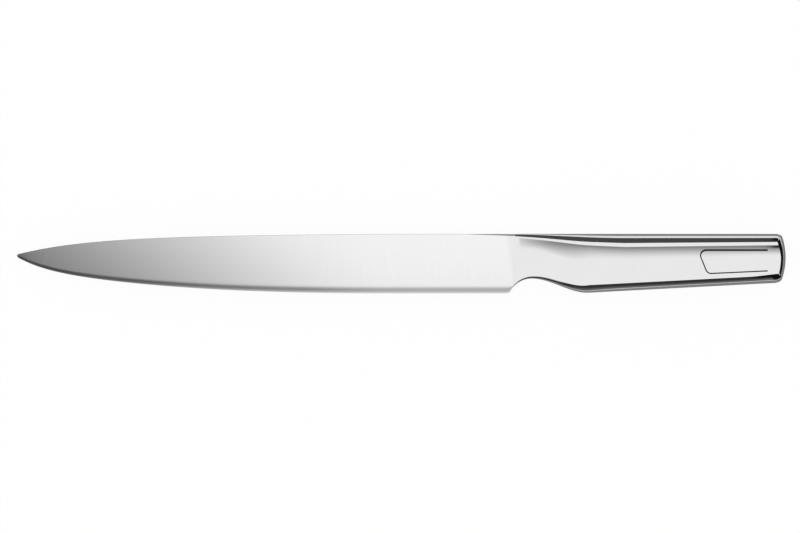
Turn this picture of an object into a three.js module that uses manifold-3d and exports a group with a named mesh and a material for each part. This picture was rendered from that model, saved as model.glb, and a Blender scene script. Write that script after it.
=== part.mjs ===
// All-steel fillet knife, built up as a welded assembly that lies on its right side.
// Sizes are in millimetres. While drawn, X runs from the tip to the butt with zero at the heel of the blade,
// Y runs up to the straight spine line at zero, and Z is the thickness with zero on the middle plane.
import * as THREE from 'three';
import { mergeVertices } from 'three/addons/utils/BufferGeometryUtils.js';
import Module from 'manifold-3d';

const wasm = await Module();
wasm.setup();

// Blade outline
const bladeLength = 201; // tip to heel
const bladeHeight = 24.2; // spine line to cutting edge at the heel
const tipDepth = 8.8; // middle of the point below the spine line
const tipHeight = 1; // blunt height of the point
const straightSpine = 33; // spine ahead of the heel before it starts to fall
const spineSweep = 3.1; // share of the fall spread along the spine
const spineNosePower = 7; // how late the rest of the fall comes
const straightEdge = 35; // edge ahead of the heel before it starts to rise
const edgeBelly = 10.6; // share of the rise spread along the edge
const edgeBellyPower = 3;
const edgeNosePower = 18; // how late the rest of the rise comes

// Blade thickness
const spineThickness = 2.2;
const tipThickness = 1.2;
const spineRound = 0.5; // height of the rounded back of the spine
const shoulderThickness = 0.7; // where the flank meets the edge bevel
const edgeThickness = 0.12;
const heelBevel = 2.6; // height of the edge bevel at the heel
const tipBevel = 1.4; // height of the edge bevel near the point
const bevelShare = 0.4; // most of the blade's height that the bevel takes, near the point
const backShare = 0.25; // most of the blade's height that the rounded back takes, near the point
const leastBevel = 0.15; // height of the bevel where the notch cuts it away

// Finger notch and underside of the handle
const notchRadius = 9.2;
const notchDepth = 18.1; // spine line to the top of the notch
const bellyPlace = 32; // heel to the deepest part of the handle
const bellyDepth = 23.9;
const buttDepth = 19.8;
const handleLength = 112; // heel to the end of the butt

// Handle cross-section
const handleThickness = 15;
const flareEnd = 47; // heel to where the neck reaches its full thickness
const crestDepth = 4.35; // spine line to the widest line of the rounded back
const backFullness = 0.62; // how square the rounded back is
const crestLand = 1.1; // flat strip along the widest line, on which the knife lies
const coveHeight = 6.5; // hollow below the crest
const coveTurn = 2.6; // how far down the hollow its slope turns
const coveDepth = 0.6;
const bellyRound = 3.1; // height of the rounded underside
const bellyTilt = THREE.MathUtils.degToRad(28); // slope of the underside where it leaves the side panel
const neckEase = 0.4; // height of the rounded underside where the neck meets the blade

// Butt
const buttBow = 26; // radius of the end seen from the side
const buttEdge = 2; // length of the rounded rim
const buttCorner = 1.6; // height that the rim loses at its corners, seen from the side
const buttTilt = THREE.MathUtils.degToRad(28); // slope of the rim where it leaves the side panel

// Pressed shells, welds and fits
const shellWall = 1.2;
const neckStart = 1.6; // heel to the blade weld
const shellStart = 29; // heel to the weld between neck and shells
const weldWidth = 1.2;
const weldDepth = 0.7;
const bladeWeldWidth = 0.9;
const bladeWeldDepth = 0.45;
const seamWidth = 1; // weld run between the two shells
const weldGap = 0.05;
const rootGap = 0.1; // between parts that meet under a weld
const spigotLength = 8;
const spigotGap = 0.15;

// Balance weight
const weightLength = 16;
const weightGap = 0.3;
const tackLeg = 2.4;
const tackLength = 6;

// Pinstripe on the left side, measured like the outline
const stripeWidth = 0.5;
const stripeFilm = 0.06; // thickness of the black print
const stripeGap = 0.03;
const stripeEnd = 104.8;
const stripeTop = 6.7;
const stripeTopCorner = 76.5;
const stripeBottom = 16.5;
const stripeBottomCorner = 80.7;
const stripeRise = 1.2; // rise of the lower line towards the butt
const stripeTurn = 2.6; // length of each rounded corner

// How finely curves are divided
const spineSteps = 3;
const backSteps = 8;
const coveSteps = 4;
const bellySteps = 5;
const rimSteps = 4;
const bladeSteps = 34;
const notchSteps = 6;
const neckSteps = 9;
const flareSteps = 5;
const bodySteps = 3;
const stripeSteps = 5;
const joined = 1e-4; // corners closer than this are one corner
const sliver = 1e-3; // smallest detail kept where two shapes cut each other
const bladeCrowd = 1.5; // crowds the blade's divisions towards the point

const { clamp, lerp, smoothstep } = THREE.MathUtils;
const flat = (y, z) => new THREE.Vector2(y, z); // one point of a cross-section

// Height of the spine at x
function spineAt(x) {
  const s = clamp((-straightSpine - x) / (bladeLength - straightSpine), 0, 1);
  const nose = tipDepth - tipHeight / 2 - spineSweep;
  return -spineSweep * s ** 2 - nose * s ** spineNosePower;
}

// Height of the cutting edge at x
function edgeAt(x) {
  const s = clamp((-straightEdge - x) / (bladeLength - straightEdge), 0, 1);
  const nose = bladeHeight - tipDepth - tipHeight / 2 - edgeBelly;
  return -bladeHeight + edgeBelly * s ** edgeBellyPower + nose * s ** edgeNosePower;
}

// Depth of the underside behind the heel: a round notch, a soft swell, then a straight taper to the butt
function depthAt(x) {
  const drop = bladeHeight - notchDepth;
  const notchPlace = Math.sqrt(notchRadius ** 2 - (notchRadius - drop) ** 2);
  const taper = (bellyDepth - buttDepth) / (handleLength - bellyPlace);
  if (x < notchPlace) {
    return notchDepth + notchRadius - Math.sqrt(notchRadius ** 2 - (x - notchPlace) ** 2);
  }
  if (x > bellyPlace) {
    return bellyDepth - taper * (x - bellyPlace);
  }
  const span = bellyPlace - notchPlace;
  const s = (x - notchPlace) / span;
  const swell = s * s * (3 - 2 * s);
  return lerp(notchDepth, bellyDepth, swell) + taper * span * s * s * (1 - s);
}

// Half thickness of the blade at x and height y
function bladeHalf(x, y) {
  const s = clamp((-straightSpine - x) / (bladeLength - straightSpine), 0, 1);
  const top = spineAt(x);
  const edge = edgeAt(x);
  const bevel = Math.min(lerp(heelBevel, tipBevel, s), (top - edge) * bevelShare);
  const spineHalf = lerp(spineThickness, tipThickness, s * s) / 2;
  const shoulder = edge + bevel;
  if (y < shoulder) {
    return lerp(edgeThickness, shoulderThickness, (y - edge) / bevel) / 2;
  }
  return lerp(spineHalf, shoulderThickness / 2, (top - y) / (top - shoulder));
}

// Right half of the blade's cross-section, from the spine down to the edge
function bladeSection(x) {
  const top = spineAt(x);
  const edge = Math.max(edgeAt(x), x > 0 ? -depthAt(x) : -bladeHeight);
  const s = clamp((-straightSpine - x) / (bladeLength - straightSpine), 0, 1);
  const height = top - edge;
  const round = Math.min(spineRound, height * backShare);
  const bevel = Math.min(lerp(heelBevel, tipBevel, s), (top - edgeAt(x)) * bevelShare);
  const shoulder = Math.max(edgeAt(x) + bevel, edge + leastBevel);
  const half = bladeHalf(x, top - round);
  const back = new THREE.EllipseCurve(top - round, 0, round, half, 0, Math.PI / 2);
  return [
    ...back.getPoints(spineSteps),
    flat(shoulder, bladeHalf(x, shoulder)),
    flat(edge, bladeHalf(x, edge)),
    flat(edge, 0),
  ];
}

// Half of the handle's cross-section, from the spine down to the middle of the underside
function handleSection(x) {
  const depth = depthAt(x);
  const opening = clamp((x - neckStart) / (flareEnd - neckStart), 0, 1);
  const early = 1 - (1 - opening) ** 2;
  const swell = smoothstep(x, neckStart, flareEnd);
  const share = depth / bellyDepth;
  const half = lerp(spineThickness, handleThickness, swell) / 2;
  const lowHalf = lerp(2 * bladeHalf(neckStart, -notchDepth), handleThickness, swell) / 2;
  const crest = lerp(spineRound, crestDepth * share, early);
  const ridge = crest + lerp(weldGap, crestLand * share, early);
  const low = depth - lerp(neckEase, bellyRound, opening);
  const foot = ridge + coveHeight;
  const chord = lerp(half, lowHalf, coveHeight / (low - ridge));
  const footHalf = chord - coveDepth * early;
  const panelSlope = (lowHalf - footHalf) / (low - foot);
  const turnHalf = footHalf - panelSlope * (coveHeight - coveTurn);
  const back = new THREE.CubicBezierCurve(
    flat(0, 0),
    flat(0, half * backFullness),
    flat(-crest * (1 - backFullness), half),
    flat(-crest, half),
  );
  const cove = new THREE.QuadraticBezierCurve(
    flat(-ridge, half),
    flat(-ridge - coveTurn, turnHalf),
    flat(-foot, footHalf),
  );
  const belly = new THREE.QuadraticBezierCurve(
    flat(-low, lowHalf),
    flat(-depth, lowHalf - (depth - low) * Math.tan(bellyTilt)),
    flat(-depth, 0),
  );
  return [...back.getPoints(backSteps), ...cove.getPoints(coveSteps), ...belly.getPoints(bellySteps)];
}

// The same cross-section with its sides moved in by an amount, and its top and bottom by a rise
function inset(section, amount, rise = amount) {
  const last = section[section.length - 1];
  const middle = (section[0].x + last.x) / 2;
  const halfHeight = section[0].x - middle;
  const half = Math.max(...section.map((p) => p.y));
  const shrinkY = 1 - rise / halfHeight;
  const shrinkZ = 1 - amount / half;
  return section.map((p) => flat(middle + (p.x - middle) * shrinkY, p.y * shrinkZ));
}

// Inset of the rounded rim at the butt
const rimRadius = buttEdge / (1 - Math.sin(buttTilt));
const rimStart = handleLength - buttEdge;
const cornerShare = buttCorner / (rimRadius * Math.cos(buttTilt));
function rimInset(x) {
  const along = Math.max(0, x - rimStart) + rimRadius * Math.sin(buttTilt);
  return rimRadius * Math.cos(buttTilt) - Math.sqrt(Math.max(0, rimRadius ** 2 - along ** 2));
}

// A point of the handle, bowed back towards the spine and underside as the butt gets near
function handlePoint(x, y, z) {
  const off = y + depthAt(x) / 2;
  const bow = buttBow - Math.sqrt(Math.max(0, buttBow ** 2 - off ** 2));
  const share = clamp((x - shellStart) / (handleLength - shellStart), 0, 1);
  return new THREE.Vector3(x - bow * share, y, z);
}

// Indexed geometry with shared corners, no empty triangles and its faces turned out
function closed(points, index) {
  const raw = new THREE.BufferGeometry().setFromPoints(points);
  raw.setIndex(index);
  const geometry = mergeVertices(raw, joined);
  const position = geometry.getAttribute('position');
  const corners = geometry.getIndex().array;
  const kept = [];
  let volume = 0;
  for (let i = 0; i < corners.length; i += 3) {
    const [a, b, c] = corners.slice(i, i + 3);
    if (a !== b && b !== c && c !== a) {
      const [p, q, r] = [a, b, c].map((k) => new THREE.Vector3().fromBufferAttribute(position, k));
      volume += p.dot(q.cross(r));
      kept.push(a, b, c);
    }
  }
  geometry.setIndex(volume > 0 ? kept : kept.reverse());
  return geometry;
}

// Quads between two loops of equal length
function bridge(index, first, second, size) {
  for (let i = 0; i < size; i++) {
    const next = (i + 1) % size;
    index.push(first + i, first + next, second + next);
    index.push(first + i, second + next, second + i);
  }
}

// Solid through stations, each made of two matching edges that run from the spine to the underside
function loft(stations) {
  const loops = stations.map(({ near, far }) => [...near, ...far.slice().reverse()]);
  const size = loops[0].length;
  const end = (loops.length - 1) * size;
  const index = [];
  for (let s = 0; s < end; s += size) {
    bridge(index, s, s + size, size);
  }
  for (let k = 0; k < size / 2 - 1; k++) {
    const other = size - 1 - k;
    index.push(k, other, other - 1, k, other - 1, k + 1);
    index.push(end + k, end + k + 1, end + other - 1, end + k, end + other - 1, end + other);
  }
  return closed(loops.flat(), index);
}

// Both sides of a cross-section as one station
function wholeStation(x, section, place) {
  const near = section.map((p) => place(x, p.x, p.y));
  const far = section.map((p) => place(x, p.x, -p.y));
  return { near, far };
}

const plain = (x, y, z) => new THREE.Vector3(x, y, z);
const spread = (from, to, steps) => Array.from({ length: steps + 1 }, (_, i) => lerp(from, to, i / steps));

// Blade, with a chamfered back end for the weld
function blade() {
  const forward = spread(0, 1, bladeSteps).map((s) => {
    return -bladeLength + (bladeLength - straightEdge) * s ** bladeCrowd;
  });
  const rear = spread(0, neckStart - bladeWeldWidth / 2, notchSteps);
  const stations = [...forward, ...rear].map((x) => wholeStation(x, bladeSection(x), plain));
  const root = neckStart - rootGap / 2;
  stations.push(wholeStation(root, inset(bladeSection(root), bladeWeldDepth), plain));
  return loft(stations);
}

// Solid neck, chamfered at both ends, with a spigot that the shells slide over
function neck() {
  const front = neckStart + rootGap / 2;
  const back = shellStart - rootGap / 2;
  const places = spread(neckStart + bladeWeldWidth / 2, shellStart - weldWidth / 2, neckSteps);
  const spigot = (x) => wholeStation(x, inset(handleSection(back), shellWall + spigotGap), plain);
  return loft([
    wholeStation(front, inset(handleSection(front), bladeWeldDepth), plain),
    ...places.map((x) => wholeStation(x, handleSection(x), plain)),
    wholeStation(back, inset(handleSection(back), weldDepth), plain),
    spigot(back),
    spigot(shellStart + spigotLength),
  ]);
}

// Weld ring that fills the groove around a joint at x, ground flush outside
function weldRing(x, width, depth) {
  const reach = width / 2 - weldGap;
  const loopAt = (place, amount) => {
    const { near, far } = wholeStation(place, inset(handleSection(place), amount), plain);
    return [...near.slice(0, -1), ...far.reverse().slice(0, -1)];
  };
  const loops = [loopAt(x - reach, 0), loopAt(x + reach, 0), loopAt(x, depth - weldGap)];
  const size = loops[0].length;
  const index = [];
  bridge(index, 0, size, size);
  bridge(index, size, 2 * size, size);
  bridge(index, 2 * size, 0, size);
  return closed(loops.flat(), index);
}

// Places along the shells, close together where they curve
const shellRoot = shellStart + rootGap / 2;
const rimPlaces = spread(buttTilt, Math.PI / 2, rimSteps).map((angle) => {
  return rimStart + rimRadius * (Math.sin(angle) - Math.sin(buttTilt));
});
const shellPlaces = [
  shellRoot,
  ...spread(shellStart + weldWidth / 2, flareEnd, flareSteps),
  ...spread(flareEnd, rimStart, bodySteps).slice(1, -1),
  ...rimPlaces,
];

// One row of points on a skin of the left shell, which stops short of the middle plane for the seam weld
function shellRow(x, amount, rise = amount) {
  const section = inset(handleSection(x), amount, rise);
  return section.map((p) => handlePoint(x, p.x, Math.max(p.y, seamWidth / 2)));
}

// Rows of one skin from the neck to the butt, closed by a last row on the seam
function shellSkin(thickness, groove) {
  const length = handleLength - shellRoot;
  const rows = shellPlaces.map((place, i) => {
    const x = shellRoot + ((place - shellRoot) * (length - thickness)) / length;
    const draw = i === 0 ? groove : rimInset(place);
    const drop = i === 0 ? groove : draw * cornerShare;
    return shellRow(x, thickness + draw, thickness + drop);
  });
  const end = rows[rows.length - 1].map((p) => new THREE.Vector3(p.x, p.y, seamWidth / 2));
  return [...rows, end];
}

const outerSkin = shellSkin(0, weldDepth);
const innerSkin = shellSkin(shellWall, 0);

function leftShell() {
  return loft(outerSkin.map((near, i) => ({ near, far: innerSkin[i] })));
}

function mirrored(geometry) {
  const points = [];
  const position = geometry.getAttribute('position');
  for (let i = 0; i < position.count; i++) {
    points.push(new THREE.Vector3(position.getX(i), position.getY(i), -position.getZ(i)));
  }
  return closed(points, Array.from(geometry.getIndex().array));
}

// Weld run between the shells, cut from the strip that the two skins leave on the middle plane
function seamRun(outer, inner) {
  const outline = [...outer, ...inner.slice().reverse()].map((p) => new THREE.Vector2(p.x, p.y));
  const depth = seamWidth - 2 * weldGap;
  const run = new THREE.ExtrudeGeometry(new THREE.Shape(outline), { depth, bevelEnabled: false });
  return run.translate(0, 0, -depth / 2);
}

const rimRow = shellPlaces.indexOf(rimPlaces[0]);
const spineEdge = (skin) => skin.slice(1, rimRow + 1).map((row) => row[0]);
const bellyEdge = (skin) => skin.slice(1, rimRow + 1).map((row) => row[row.length - 1]);
const buttEnd = (skin) => [
  ...skin.slice(rimRow, -1).map((row) => row[0]),
  ...skin[skin.length - 1].slice(1, -1),
  ...skin.slice(rimRow, -1).map((row) => row[row.length - 1]).reverse(),
];

// Balance weight, shaped to the inside of the shells
const weightStart = rimStart - shellWall - weightLength;
function balanceWeight() {
  const amount = shellWall + weightGap;
  const places = spread(weightStart, weightStart + weightLength, 1);
  return loft(places.map((x) => wholeStation(x, inset(handleSection(x), amount), handlePoint)));
}

// Tack weld in the corner between the weight and the right shell
function tackWeld() {
  const middle = -depthAt(weightStart) / 2;
  const wall = inset(handleSection(weightStart), shellWall);
  const rest = Math.max(...wall.map((p) => p.y)) - coveDepth - weightGap;
  const back = handlePoint(weightStart, middle + tackLength / 2, 0).x - rootGap;
  const corner = new THREE.Shape([flat(0, 0), flat(-tackLeg, 0), flat(0, tackLeg)]);
  const bead = new THREE.ExtrudeGeometry(corner, { depth: tackLength, bevelEnabled: false });
  bead.rotateX(Math.PI / 2);
  return bead.translate(back, middle + tackLength / 2, -rest);
}

// Corners of the pinstripe's path, moved sideways by half its width
function stripeCorners(side) {
  const corners = [
    new THREE.Vector2(stripeEnd, -stripeTop),
    new THREE.Vector2(stripeTopCorner, -stripeTop),
    new THREE.Vector2(stripeBottomCorner, -stripeBottom),
    new THREE.Vector2(stripeEnd, -stripeBottom + stripeRise),
  ];
  const normals = corners.slice(1).map((p, i) => {
    const along = p.clone().sub(corners[i]).normalize();
    return new THREE.Vector2(-along.y, along.x);
  });
  return corners.map((p, i) => {
    const before = normals[Math.max(i - 1, 0)];
    const after = normals[Math.min(i, normals.length - 1)];
    const mitre = before.clone().add(after).divideScalar(1 + before.dot(after));
    return p.clone().addScaledVector(mitre, side);
  });
}

// Adds a path with rounded corners to an outline
function addRounded(outline, points) {
  for (let i = 1; i < points.length - 1; i++) {
    const start = points[i].clone().add(points[i - 1].clone().sub(points[i]).setLength(stripeTurn));
    const end = points[i].clone().add(points[i + 1].clone().sub(points[i]).setLength(stripeTurn));
    outline.lineTo(start.x, start.y);
    outline.quadraticCurveTo(points[i].x, points[i].y, end.x, end.y);
  }
  const last = points[points.length - 1];
  outline.lineTo(last.x, last.y);
}

// Upright band along the pinstripe's path, tall enough to pass through the wall of the shell
function stripeBand() {
  const one = stripeCorners(stripeWidth / 2);
  const other = stripeCorners(-stripeWidth / 2).reverse();
  const outline = new THREE.Shape();
  outline.moveTo(one[0].x, one[0].y);
  addRounded(outline, one);
  outline.lineTo(other[0].x, other[0].y);
  addRounded(outline, other);
  const depth = handleThickness / 2;
  const band = new THREE.ExtrudeGeometry(outline, { depth, bevelEnabled: false, curveSegments: stripeSteps });
  return band.translate(0, 0, (handleThickness - depth) / 2);
}

function manifoldOf(geometry) {
  const bare = geometry.clone();
  bare.deleteAttribute('normal');
  bare.deleteAttribute('uv');
  const merged = mergeVertices(bare, joined);
  const vertProperties = new Float32Array(merged.getAttribute('position').array);
  const triVerts = new Uint32Array(merged.getIndex().array);
  return new wasm.Manifold(new wasm.Mesh({ numProp: 3, vertProperties, triVerts }));
}

function geometryOf(manifold) {
  const mesh = manifold.getMesh();
  const geometry = new THREE.BufferGeometry();
  geometry.setAttribute('position', new THREE.BufferAttribute(new Float32Array(mesh.vertProperties), 3));
  geometry.setIndex(Array.from(mesh.triVerts));
  return geometry;
}

// Everything inside a skin that stands off the left shell by the given amount
function shellCover(amount) {
  const rows = shellPlaces.map((x) => shellRow(x, -amount));
  const stations = rows.map((near) => {
    const far = near.map((p) => new THREE.Vector3(p.x, p.y, -seamWidth));
    return { near, far };
  });
  return manifoldOf(loft(stations));
}

// Pinstripe as a thin printed film that follows the curved side of the handle
function pinstripe() {
  const band = manifoldOf(stripeBand());
  const film = shellCover(stripeGap + stripeFilm).intersect(band).subtract(shellCover(stripeGap));
  return geometryOf(film.simplify(sliver));
}

const steel = (color, roughness) => new THREE.MeshStandardMaterial({ color, roughness, metalness: 1 });
const satin = steel('#c4c6c8', 0.34);
const polished = steel('#d3d4d6', 0.12);
const filler = steel('#cdced0', 0.18);
const mild = steel('#8f9296', 0.5);
const black = new THREE.MeshStandardMaterial({ color: '#111214', roughness: 0.5, metalness: 0 });

const knife = new THREE.Group();
knife.name = 'fillet_knife';
function piece(name, geometry, material) {
  const mesh = new THREE.Mesh(geometry, material);
  mesh.name = name;
  knife.add(mesh);
}

piece('blade', blade(), satin);
piece('neck', neck(), polished);
piece('left_handle_shell', leftShell(), polished);
piece('right_handle_shell', mirrored(leftShell()), polished);
piece('blade_weld', weldRing(neckStart, bladeWeldWidth, bladeWeldDepth), filler);
piece('neck_weld', weldRing(shellStart, weldWidth, weldDepth), filler);
piece('spine_seam_weld', seamRun(spineEdge(outerSkin), spineEdge(innerSkin)), filler);
piece('belly_seam_weld', seamRun(bellyEdge(outerSkin), bellyEdge(innerSkin)), filler);
piece('butt_seam_weld', seamRun(buttEnd(outerSkin), buttEnd(innerSkin)), filler);
piece('balance_weight', balanceWeight(), mild);
piece('weight_tack_weld', tackWeld(), mild);
piece('pinstripe', pinstripe(), black);

// The knife lies on the crest of its right side, with its footprint centred on the origin
knife.position.set((bladeLength - handleLength) / 2, bladeHeight / 2, handleThickness / 2);

export default knife;
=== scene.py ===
# %% [markdown]
# # An all-steel fillet knife
# The knife lies on its right side with the tip to the left and the cutting edge towards the viewer. Its solids are
# already built, so this lesson gives them their looks: smooth surfaces, steel finishes, a small studio and a camera.
# The solids are loaded first, because every size and place below is set against them.

# %% Load the solids
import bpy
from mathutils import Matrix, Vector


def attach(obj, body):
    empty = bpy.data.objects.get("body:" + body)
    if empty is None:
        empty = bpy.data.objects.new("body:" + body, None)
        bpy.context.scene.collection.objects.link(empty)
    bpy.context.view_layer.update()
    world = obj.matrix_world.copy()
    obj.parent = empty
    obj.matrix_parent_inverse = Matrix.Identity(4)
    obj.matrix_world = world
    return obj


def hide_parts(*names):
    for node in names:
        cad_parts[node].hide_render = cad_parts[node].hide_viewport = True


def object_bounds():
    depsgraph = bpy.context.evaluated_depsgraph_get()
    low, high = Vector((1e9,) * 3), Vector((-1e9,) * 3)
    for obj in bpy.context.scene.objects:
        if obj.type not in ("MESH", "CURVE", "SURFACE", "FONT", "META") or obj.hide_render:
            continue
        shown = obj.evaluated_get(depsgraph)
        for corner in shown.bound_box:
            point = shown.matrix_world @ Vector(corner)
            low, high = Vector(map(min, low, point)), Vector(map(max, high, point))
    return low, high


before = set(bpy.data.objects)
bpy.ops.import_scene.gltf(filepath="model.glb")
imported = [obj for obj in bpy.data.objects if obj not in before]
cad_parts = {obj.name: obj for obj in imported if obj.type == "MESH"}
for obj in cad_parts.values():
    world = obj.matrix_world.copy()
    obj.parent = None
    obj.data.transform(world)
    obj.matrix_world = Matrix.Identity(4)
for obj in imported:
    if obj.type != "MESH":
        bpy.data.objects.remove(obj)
cad_low, cad_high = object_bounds()
print("solids:", ", ".join(sorted(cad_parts)))
print("size in metres:", [round(v, 4) for v in cad_high - cad_low])

# %% [markdown]
# ## Tools used all the way through
# Sizes are kept in millimetres, as a cutler would give them, and turned to metres once, when a mesh is made.
# While a piece is drawn, X runs from the tip to the butt with zero at the heel, Y runs up with zero at the spine, and Z
# is the thickness with zero on the middle plane. The three places below carry that drawing onto the solids.

# %% Units and places
import math
import bmesh
import bpy
import numpy as np

MM = 0.001
blade_length = 201
heel = cad_low.x / MM + blade_length
spine = cad_high.y / MM
middle = (cad_low.z + cad_high.z) / 2 / MM
origin = np.array([heel, spine, middle])
print("heel, spine and middle plane in mm:", origin.round(3))

# %% [markdown]
# Shader trees and Geometry Nodes trees are both made of nodes, so one small function adds a node to either. Its
# settings are given by name, and each input takes a plain value or the output of another node. Colours are written
# as the usual six-digit codes, which a renderer needs as linear light.

# %% Node and colour helpers
def add(tree, kind, inputs=None, **settings):
    """Adds one node, with its settings, and fills its inputs with values or with other nodes' outputs."""
    node = tree.nodes.new(kind)
    for name, value in settings.items():
        setattr(node, name, value)
    for key, value in (inputs or {}).items():
        if isinstance(value, bpy.types.NodeSocket):
            tree.links.new(value, node.inputs[key])
        else:
            node.inputs[key].default_value = value
    return node


def linear(code):
    """A six-digit sRGB colour as linear red, green, blue and alpha."""
    shares = [int(code[i:i + 2], 16) / 255 for i in (1, 3, 5)]
    return (*[c / 12.92 if c <= 0.04045 else ((c + 0.055) / 1.055) ** 2.4 for c in shares], 1.0)


def new_finish(name):
    """A new material and its empty node tree."""
    finish = bpy.data.materials.new(name)
    finish.use_nodes = True
    finish.node_tree.nodes.clear()
    return finish, finish.node_tree


print("mid grey in linear light:", round(linear("#808080")[0], 3))

# %% [markdown]
# ## Camera
# The knife was seen square to its left side from far away, with no visible perspective. An orthographic camera gives
# that view. It looks straight down, with the spine at the top of the picture, and its width is set by the scale of
# the picture: so many millimetres for each of its 800 pixels.

# %% Camera
picture_width = 800
mm_per_pixel = 0.4073
view_centre = (-0.48, -1.115)
camera_height = 1.2

camera_data = bpy.data.cameras.new("camera")
camera_data.type = "ORTHO"
camera_data.ortho_scale = picture_width * mm_per_pixel * MM
camera = bpy.data.objects.new("camera", camera_data)
camera.location = (view_centre[0] * MM, view_centre[1] * MM, camera_height)
bpy.context.scene.collection.objects.link(camera)
bpy.context.scene.camera = camera
print("picture width in metres:", round(camera_data.ortho_scale, 4))

# %% [markdown]
# ## Satin steel for the blade
# The sides of the blade are stainless steel, ground on a belt from spine to edge and then lightly brushed. To the eye
# that is a soft, even sheen that blurs whatever it mirrors, with very fine lines across the blade. Real lines are a few
# hundredths of a millimetre apart. They are drawn wider here, so that they still show in a close view. Behind the heel
# the buffing wheel has caught the blade, so the satin runs into the handle's polish along a slanting line.
#
# A noise texture mostly stays between 0.3 and 0.7, so that span is what gets spread over a range of roughness.

# %% Satin ground stainless steel
line_spacing = 0.12
line_length = 14
line_depth = 0.0002
patch_size = 40
noise_span = {"From Min": 0.3, "From Max": 0.7}
satin_rough = {"To Min": 0.17, "To Max": 0.22}
buffed_rough = 0.08
buffed_lean = 0.14
buffed_from, buffed_to = heel - 1.2, heel + 1.0


def satin_ground_steel():
    finish, tree = new_finish("satin_ground_stainless_steel")
    place = add(tree, "ShaderNodeTexCoord").outputs["Object"]
    across = (1 / (line_spacing * MM), 1 / (line_length * MM), 1 / (line_length * MM))
    stretched = add(tree, "ShaderNodeMapping", {"Vector": place, "Scale": across})
    lines = add(tree, "ShaderNodeTexNoise", {"Vector": stretched.outputs[0], "Scale": 1.0, "Detail": 3.0})
    patches = add(tree, "ShaderNodeTexNoise", {
        "Vector": place, "Scale": 1 / (patch_size * MM), "Detail": 1.0})
    leaning = add(tree, "ShaderNodeVectorMath", {
        0: place, 1: (1.0, buffed_lean, 0.0)}, operation="DOT_PRODUCT")
    buffed = add(tree, "ShaderNodeMapRange", {
        "Value": leaning.outputs["Value"], "From Min": buffed_from * MM, "From Max": buffed_to * MM})
    dull = add(tree, "ShaderNodeMapRange", {"Value": lines.outputs["Fac"], **noise_span, **satin_rough})
    rough = add(tree, "ShaderNodeMix", {
        "Factor": buffed.outputs[0], "A": dull.outputs[0], "B": buffed_rough})
    ground = add(tree, "ShaderNodeMix", {
        "Factor": patches.outputs["Fac"], "A": linear("#EBEBEB"), "B": linear("#E9E9E9")}, data_type="RGBA")
    tone = add(tree, "ShaderNodeMix", {
        "Factor": buffed.outputs[0],
        "A": ground.outputs["Result"], "B": linear("#DEDEDE")}, data_type="RGBA")
    relief = add(tree, "ShaderNodeBump", {
        "Height": lines.outputs["Fac"], "Strength": 1.0, "Distance": line_depth * MM})
    steel = add(tree, "ShaderNodeBsdfPrincipled", {
        "Base Color": tone.outputs["Result"], "Metallic": 1.0,
        "Roughness": rough.outputs["Result"], "Normal": relief.outputs["Normal"]})
    add(tree, "ShaderNodeOutputMaterial", {"Surface": steel.outputs["BSDF"]})
    return finish


satin_steel = satin_ground_steel()
print("finish:", satin_steel.name)

# %% [markdown]
# The bevel along the edge is ground last, on a finer and faster wheel. Its lines run square to the edge, and they too
# are drawn wider than they are. The bevel looks a little greyer than the sides, because it leans towards the darker
# side of the room.

# %% Honed bevel
hone_spacing = 0.12
hone_length = 3
hone_depth = 0.0001
hone_rough = {"To Min": 0.1, "To Max": 0.14}


def honed_edge_steel():
    finish, tree = new_finish("honed_stainless_steel_edge")
    place = add(tree, "ShaderNodeTexCoord").outputs["Object"]
    across = (1 / (hone_spacing * MM), 1 / (hone_length * MM), 1 / (hone_length * MM))
    stretched = add(tree, "ShaderNodeMapping", {"Vector": place, "Scale": across})
    lines = add(tree, "ShaderNodeTexNoise", {"Vector": stretched.outputs[0], "Scale": 1.0, "Detail": 2.0})
    rough = add(tree, "ShaderNodeMapRange", {"Value": lines.outputs["Fac"], **noise_span, **hone_rough})
    tone = add(tree, "ShaderNodeMix", {
        "Factor": lines.outputs["Fac"], "A": linear("#DEDEDE"), "B": linear("#E2E2E2")}, data_type="RGBA")
    relief = add(tree, "ShaderNodeBump", {
        "Height": lines.outputs["Fac"], "Strength": 1.0, "Distance": hone_depth * MM})
    steel = add(tree, "ShaderNodeBsdfPrincipled", {
        "Base Color": tone.outputs["Result"], "Metallic": 1.0,
        "Roughness": rough.outputs["Result"], "Normal": relief.outputs["Normal"]})
    add(tree, "ShaderNodeOutputMaterial", {"Surface": steel.outputs["BSDF"]})
    return finish


honed_steel = honed_edge_steel()
print("finish:", honed_steel.name)

# %% [markdown]
# ## Mirror polish for the handle
# The handle is the same steel, buffed on a cloth wheel until it mirrors the room. A used handle is never quite perfect:
# hair-fine buffing lines run along it, drawn wider here so that they show, and hands leave soft patches where the shine
# is a touch duller.

# %% Mirror polished stainless steel
buff_spacing = 0.16
buff_length = 22
buff_depth = 0.00012
buff_rough = 0.03
smudge_size = 11
smudge_rough = {"From Min": 0.45, "From Max": 0.75, "To Min": 0.05, "To Max": 0.085}


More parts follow.
